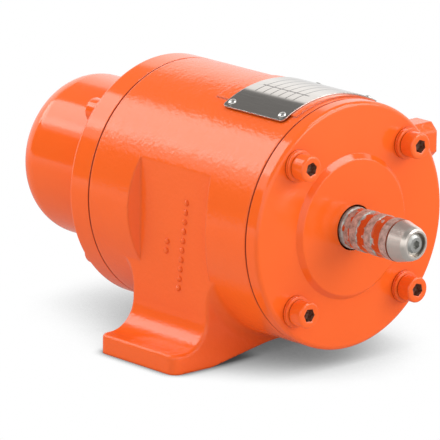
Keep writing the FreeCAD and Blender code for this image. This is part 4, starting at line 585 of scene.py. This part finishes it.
dress("nose_cone", finish_shader("turned_stainless_steel", lambda tree, where: turned_metal(
    tree, where, "#DAD0C6", "#EEE6DE", feed=turning_marks, roughness=(0.32, 0.40),
    depth=0.008 * MM)))
dress("nose_screw", finish_shader("passivated_steel_screw", lambda tree, where: turned_metal(
    tree, where, "#A8A8A4", "#BEBEBA", feed=turning_marks, roughness=(0.32, 0.44),
    depth=0.003 * MM)))

# ---------------------------------------------------------------- bearings, seal and rings
# Bearing rings and balls are hardened chrome steel, ground to a clear mirror. Their cages are moulded
# of glass filled polyamide, ivory and half matt. The seal and the two joint rings are nitrile rubber,
# dull and black. The wave spring and the clips are spring steel, blued to a dark sheen.

ground_steel = finish_shader("ground_bearing_steel", lambda tree, where: turned_metal(
    tree, where, "#B4B6B8", "#D6D8DA", feed=0.25 * MM, roughness=(0.08, 0.18),
    depth=0.002 * MM))
for name in ("front_bearing_inner_ring", "front_bearing_outer_ring", "front_bearing_balls",
             "rear_bearing_inner_ring", "rear_bearing_outer_ring", "rear_bearing_balls"):
    dress(name, ground_steel)


def plain_matter(tree, where, dark, light, size, roughness, depth):
    """A moulded matter with soft mottling size metres wide and no metal in it."""
    mottle = add_node(tree, "ShaderNodeTexNoise", {"Vector": where, "Scale": 1 / size, "Detail": 4.0})
    tint = add_node(tree, "ShaderNodeMix", {0: mottle.outputs[0], 6: colour(dark), 7: colour(light)},
                    data_type="RGBA")
    rough = add_node(tree, "ShaderNodeMapRange", {"Value": mottle.outputs[0], "To Min": roughness[0],
                                                  "To Max": roughness[1]})
    low = add_node(tree, "ShaderNodeBump", {"Height": mottle.outputs[0], "Distance": depth,
                                            "Strength": 1.0})
    return add_node(tree, "ShaderNodeBsdfPrincipled", {
        "Base Color": tint.outputs[2], "Roughness": rough.outputs[0], "Normal": low.outputs[0]})


polyamide = finish_shader("glass_filled_polyamide", lambda tree, where: plain_matter(
    tree, where, "#B9AE93", "#D8CFB8", size=1.5 * MM, roughness=(0.42, 0.60),
    depth=0.02 * MM))
dress("front_bearing_cage", polyamide)
dress("rear_bearing_cage", polyamide)

rubber = finish_shader("black_nitrile_rubber", lambda tree, where: plain_matter(
    tree, where, "#16161A", "#26262A", size=0.8 * MM, roughness=(0.50, 0.70),
    depth=0.01 * MM))
for name in ("front_o_ring", "rear_o_ring"):
    dress(name, rubber)

seal_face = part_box("shaft_seal")[0][1]
spray_depth, spray_fade = 1.5 * MM, 1.5 * MM


def oversprayed_rubber(tree, where):
    """Black rubber whose outward side caught the spray that passed between shaft and casting, so it
    looks dull red-brown from outside."""
    mist = add_node(tree, "ShaderNodeTexNoise", {"Vector": where, "Scale": 1 / (1.0 * MM),
                                                 "Detail": 3.0})
    along = add_node(tree, "ShaderNodeSeparateXYZ", {"Vector": where})
    depth = add_node(tree, "ShaderNodeMapRange", {
        "Value": along.outputs["Y"], "From Min": seal_face + spray_depth,
        "From Max": seal_face + spray_depth + spray_fade, "To Min": 1.0, "To Max": 0.0})
    tint = add_node(tree, "ShaderNodeMix", {0: depth.outputs[0], 6: colour("#1A1A1E"),
                                            7: colour("#A83A12")}, data_type="RGBA")
    rough = add_node(tree, "ShaderNodeMapRange", {"Value": mist.outputs[0], "To Min": 0.45,
                                                  "To Max": 0.70})
    return add_node(tree, "ShaderNodeBsdfPrincipled", {
        "Base Color": tint.outputs[2], "Roughness": rough.outputs[0]})


dress("shaft_seal", finish_shader("oversprayed_black_rubber", oversprayed_rubber))

spring_steel = finish_shader("blued_spring_steel", lambda tree, where: turned_metal(
    tree, where, "#2C3038", "#565C66", feed=1.5 * MM, roughness=(0.28, 0.42),
    depth=0.003 * MM))
for name in ("bearing_preload_spring", "rear_bearing_circlip", "shaft_circlip"):
    dress(name, spring_steel)

# ---------------------------------------------------------------- stator and rotor
# Both cores are stacks of 0.5 mm electrical steel sheets. The winding is enamelled copper wire, dipped
# in amber resin. The rotor's bars and end rings are aluminium, die cast into the stack, and so is the
# rear bearing's plate: a pale grey skin with a soft shine.

wave_period = 0.314
sheet_pitch, wire_pitch = 0.5 * MM, 0.9 * MM


def sheet_stack(tree, where):
    """Punched sheets seen on edge: fine dull grey stripes round the shaft, brown where they rust. A
    wave texture of scale 1 repeats each wave_period."""
    sheets = add_node(tree, "ShaderNodeTexWave", {"Vector": where, "Scale": wave_period / sheet_pitch,
                                                  "Distortion": 0.3}, bands_direction="Y")
    rust = add_node(tree, "ShaderNodeTexNoise", {"Vector": where, "Scale": 1 / (5 * MM), "Detail": 4.0})
    grey = add_node(tree, "ShaderNodeMix", {0: sheets.outputs[1], 6: colour("#4A4C4E"),
                                            7: colour("#7C7F82")}, data_type="RGBA")
    tint = add_node(tree, "ShaderNodeMix", {0: rust.outputs[0], 6: grey.outputs[2],
                                            7: colour("#6B625A")}, data_type="RGBA")
    low = add_node(tree, "ShaderNodeBump", {"Height": sheets.outputs[1], "Distance": 0.05 * MM,
                                            "Strength": 1.0})
    rough = add_node(tree, "ShaderNodeMapRange", {"Value": rust.outputs[0], "To Min": 0.38,
                                                  "To Max": 0.58})
    return add_node(tree, "ShaderNodeBsdfPrincipled", {
        "Base Color": tint.outputs[2], "Roughness": rough.outputs[0], "Metallic": 0.8,
        "Normal": low.outputs[0]})


sheets_of_steel = finish_shader("stacked_electrical_steel", sheet_stack)
dress("stator_core", sheets_of_steel)
dress("rotor_core", sheets_of_steel)


def resin_dipped_copper(tree, where):
    """Round wires about 0.9 mm apart that run round the shaft, red-brown under glossy amber resin."""
    along = add_node(tree, "ShaderNodeSeparateXYZ", {"Vector": where})
    layers = add_node(tree, "ShaderNodeCombineXYZ", {
        "X": from_axis(tree, where).outputs["Value"], "Y": along.outputs["Y"]})
    wires = add_node(tree, "ShaderNodeTexWave", {
        "Vector": layers.outputs[0], "Scale": wave_period / wire_pitch, "Distortion": 1.2,
        "Detail": 1.0}, bands_direction="DIAGONAL")
    tint = add_node(tree, "ShaderNodeMix", {0: wires.outputs[1], 6: colour("#6E2F10"),
                                            7: colour("#B9682E")}, data_type="RGBA")
    low = add_node(tree, "ShaderNodeBump", {"Height": wires.outputs[1], "Distance": 0.25 * MM,
                                            "Strength": 1.0})
    return add_node(tree, "ShaderNodeBsdfPrincipled", {
        "Base Color": tint.outputs[2], "Roughness": 0.30, "IOR": 1.55, "Coat Weight": 0.5,
        "Coat Roughness": 0.15, "Normal": low.outputs[0]})


dress("stator_winding", finish_shader("resin_dipped_copper_wire", resin_dipped_copper))

cast_aluminium = finish_shader("die_cast_aluminium", lambda tree, where: turned_metal(
    tree, where, "#8E9092", "#B4B6B8", feed=1.2 * MM, roughness=(0.34, 0.50),
    depth=0.010 * MM))
dress("rotor_cage", cast_aluminium)
dress("rear_bearing_plate", cast_aluminium)

# ---------------------------------------------------------------- unbalance weights
# Steel half discs cut from plate, clamped or keyed to the shaft's rear end with a spacer, a washer and
# blackened socket screws. Their sawn faces are oiled, dark and half bright. The spacer, washer and key
# are paler, and the screws nearly black.

oiled_steel = finish_shader("oiled_cut_steel", lambda tree, where: turned_metal(
    tree, where, "#5A5A5A", "#8C8A86", feed=0.8 * MM, roughness=(0.32, 0.52),
    depth=0.008 * MM))
dress("fixed_weight", oiled_steel)
dress("adjustable_weight", oiled_steel)

bright_steel = finish_shader("bright_turned_steel", lambda tree, where: turned_metal(
    tree, where, "#96928E", "#BDB9B4", feed=0.4 * MM, roughness=(0.22, 0.38),
    depth=0.006 * MM))
for name in ("weight_spacer", "weight_washer", "weight_key"):
    dress(name, bright_steel)

dress("weight_clamp_screws", finish_shader("black_oxide_steel", lambda tree, where: turned_metal(
    tree, where, "#1E1E20", "#3A3A3D", feed=0.6 * MM, roughness=(0.30, 0.45),
    depth=0.006 * MM)))

# ---------------------------------------------------------------- studio
# A white paper floor, and a pale wall all round that ends at a dark ceiling. Softboxes stand behind on
# the left, overhead and in front on the right. A black flag keeps the left of the casing dark.

middle = (cad_low + cad_high) / 2

floor_mesh = bpy.data.meshes.new("studio_floor")
reach = 6.0
floor_mesh.from_pydata([(-reach, -reach, 0), (reach, -reach, 0), (reach, reach, 0), (-reach, reach, 0)],
                       [], [(0, 1, 2, 3)])
floor = bpy.data.objects.new("studio_floor", floor_mesh)
bpy.context.scene.collection.objects.link(floor)
shade_reach, foot_reach, light_side = 0.14, 0.006, (0.2, -0.6, 0.77)


def paper(tree, where):
    """White paper: to all but diffuse rays it glows instead of taking light, white far off, grey close
    by where metal and enamel mirror it as a painted dimming, and darker under the motor and along its
    foot as a painted shadow from ambient occlusion."""
    lit = add_node(tree, "ShaderNodeBsdfDiffuse", {"Color": colour("#CFCFCF")})
    # Painted shadow: ambient occlusion, looking towards the lamps, dims the glow under and around the
    # motor.
    near = add_node(tree, "ShaderNodeAmbientOcclusion", {"Distance": shade_reach,
                                                         "Normal": light_side}, samples=16)
    shade = add_node(tree, "ShaderNodeMapRange", {"Value": near.outputs["AO"], "From Min": 0.02,
                                                  "From Max": 0.62, "To Min": 0.10, "To Max": 1.0})
    # Painted contact shadow: a short ambient occlusion dims the glow right along the foot.
    close = add_node(tree, "ShaderNodeAmbientOcclusion", {"Distance": foot_reach}, samples=8)
    contact_shadow = add_node(tree, "ShaderNodeMapRange", {"Value": close.outputs["AO"], "From Min": 0.45,
                                                  "From Max": 0.95, "To Min": 0.30, "To Max": 1.0})
    away = add_node(tree, "ShaderNodeVectorMath", {0: where}, operation="LENGTH")
    # Painted dimming of the floor as mirrors see it, darker close to the motor.
    mirrored = add_node(tree, "ShaderNodeMapRange", {"Value": away.outputs["Value"], "From Min": 0.40,
                                                     "From Max": 0.90, "To Min": 0.42, "To Max": 0.92})
    path = add_node(tree, "ShaderNodeLightPath")
    level = add_node(tree, "ShaderNodeMix", {0: path.outputs["Is Glossy Ray"], 2: 1.0,
                                             3: mirrored.outputs[0]}, data_type="FLOAT")
    both = add_node(tree, "ShaderNodeMath", {0: shade.outputs[0], 1: contact_shadow.outputs[0]},
                    operation="MULTIPLY")
    shown = add_node(tree, "ShaderNodeMath", {0: both.outputs[0], 1: level.outputs[0]},
                     operation="MULTIPLY")
    glow = add_node(tree, "ShaderNodeEmission", {"Strength": shown.outputs[0]})
    seen = add_node(tree, "ShaderNodeMath", {0: path.outputs["Is Diffuse Ray"], 1: 1.0},
                    operation="LESS_THAN")
    return add_node(tree, "ShaderNodeMixShader", {0: seen.outputs[0], 1: lit.outputs[0],
                                                  2: glow.outputs[0]})


floor_mesh.materials.append(finish_shader("white_studio_paper", paper))

world = bpy.data.worlds.new("studio")
bpy.context.scene.world = world
world.use_nodes = True
sky = world.node_tree
sky.nodes.clear()
path = add_node(sky, "ShaderNodeLightPath")
direction = add_node(sky, "ShaderNodeTexCoord").outputs["Generated"]
height = add_node(sky, "ShaderNodeSeparateXYZ", {"Vector": direction})
rise = add_node(sky, "ShaderNodeMapRange", {"Value": height.outputs["Z"], "From Min": 0.0,
                                            "From Max": 0.30, "To Min": 0.92, "To Max": 1.35})
above = add_node(sky, "ShaderNodeMapRange", {"Value": height.outputs["Z"], "From Min": 0.525,
                                             "From Max": 0.555})
wall = add_node(sky, "ShaderNodeMix", {0: above.outputs[0], 2: rise.outputs[0], 3: 0.26},
                data_type="FLOAT")
soft = add_node(sky, "ShaderNodeMix", {0: path.outputs["Is Glossy Ray"], 2: 0.97, 3: wall.outputs[0]},
                data_type="FLOAT")
seen = add_node(sky, "ShaderNodeMath", {0: path.outputs["Is Camera Ray"],
                                        1: path.outputs["Is Transmission Ray"]}, operation="MAXIMUM")
level = add_node(sky, "ShaderNodeMix", {0: seen.outputs[0], 2: soft.outputs[0], 3: 1.0},
                 data_type="FLOAT")
glow = add_node(sky, "ShaderNodeBackground", {"Color": (1, 1, 1, 1), "Strength": level.outputs[0]})
add_node(sky, "ShaderNodeOutputWorld", {"Surface": glow.outputs[0]})


lamp_distance = 2.0


def softbox(name, towards, across, width, length, radiance):
    """A lamp behind a diffuser, seen from the object along towards; its width lies along across."""
    back = Vector(towards).normalized()
    side = (Vector(across) - Vector(across).dot(back) * back).normalized()
    other = back.cross(side)
    lamp = bpy.data.lights.new(name, "AREA")
    lamp.shape, lamp.size, lamp.size_y = "RECTANGLE", width, length
    lamp.energy = radiance * math.pi * width * length
    obj = bpy.data.objects.new(name, lamp)
    obj.matrix_world = Matrix.Translation(middle + back * lamp_distance) @ Matrix(
        (side, other, back)).transposed().to_4x4()
    obj.visible_camera = False
    bpy.context.scene.collection.objects.link(obj)
    return obj


softbox("rear_left_softbox", towards=(-0.3128, 0.736, 0.6004), across=(-0.886, 0, -0.463),
        width=0.92, length=1.5, radiance=3.3)
overhead = softbox("overhead_softbox", towards=(0.36, -0.42, 0.82), across=(1, 0, 0),
                   width=1.3, length=0.7, radiance=5.5)
overhead.visible_diffuse = False
softbox("front_right_softbox", towards=(0.55, -0.80, 0.42), across=(0.82, 0.56, 0),
        width=1.4, length=1.2, radiance=2.9)

black = bpy.data.meshes.new("dark_flag")
flag_radius, flag_start, flag_span, flag_foot, flag_top = 1.3, -80, 62, 0.002, 0.60
flag_black = (0.03, 0.03, 0.03, 1)
steps = 12
corners = []
for i in range(steps + 1):
    turn = math.radians(flag_start + flag_span * i / steps)
    for z in (flag_foot, flag_top):
        corners.append((flag_radius * math.sin(turn), flag_radius * math.cos(turn), z))
black.from_pydata(corners, [], [(2 * i, 2 * i + 1, 2 * i + 3, 2 * i + 2) for i in range(steps)])
flag = bpy.data.objects.new("dark_flag", black)
bpy.context.scene.collection.objects.link(flag)
black.materials.append(finish_shader("black_flag_cloth", lambda tree, where: add_node(
    tree, "ShaderNodeEmission", {"Color": flag_black, "Strength": 1.0})))
flag.visible_camera = flag.visible_diffuse = flag.visible_shadow = flag.visible_transmission = False

# ---------------------------------------------------------------- camera
# A long lens a little above the shaft, in front and to the left.

azimuth, elevation, roll = math.radians(-42.184), math.radians(14.639), math.radians(0.6264)
aim = middle + Vector((-5.36, 7.85, -10.07)) * MM
distance = 2.5431
back = Vector((math.sin(azimuth) * math.cos(elevation), -math.cos(azimuth) * math.cos(elevation),
               math.sin(elevation)))
level_right = Vector((math.cos(azimuth), math.sin(azimuth), 0))
right = math.cos(roll) * level_right + math.sin(roll) * back.cross(level_right)
up = back.cross(right)
camera = bpy.data.cameras.new("camera")
camera.lens, camera.sensor_width = 415.86, 36
camera.clip_start, camera.clip_end = 0.05, 50
viewer = bpy.data.objects.new("camera", camera)
viewer.matrix_world = Matrix.Translation(aim + back * distance) @ Matrix(
    (right, up, back)).transposed().to_4x4()
bpy.context.scene.collection.objects.link(viewer)
bpy.context.scene.camera = viewer
bpy.context.scene.view_settings.view_transform = "Standard"
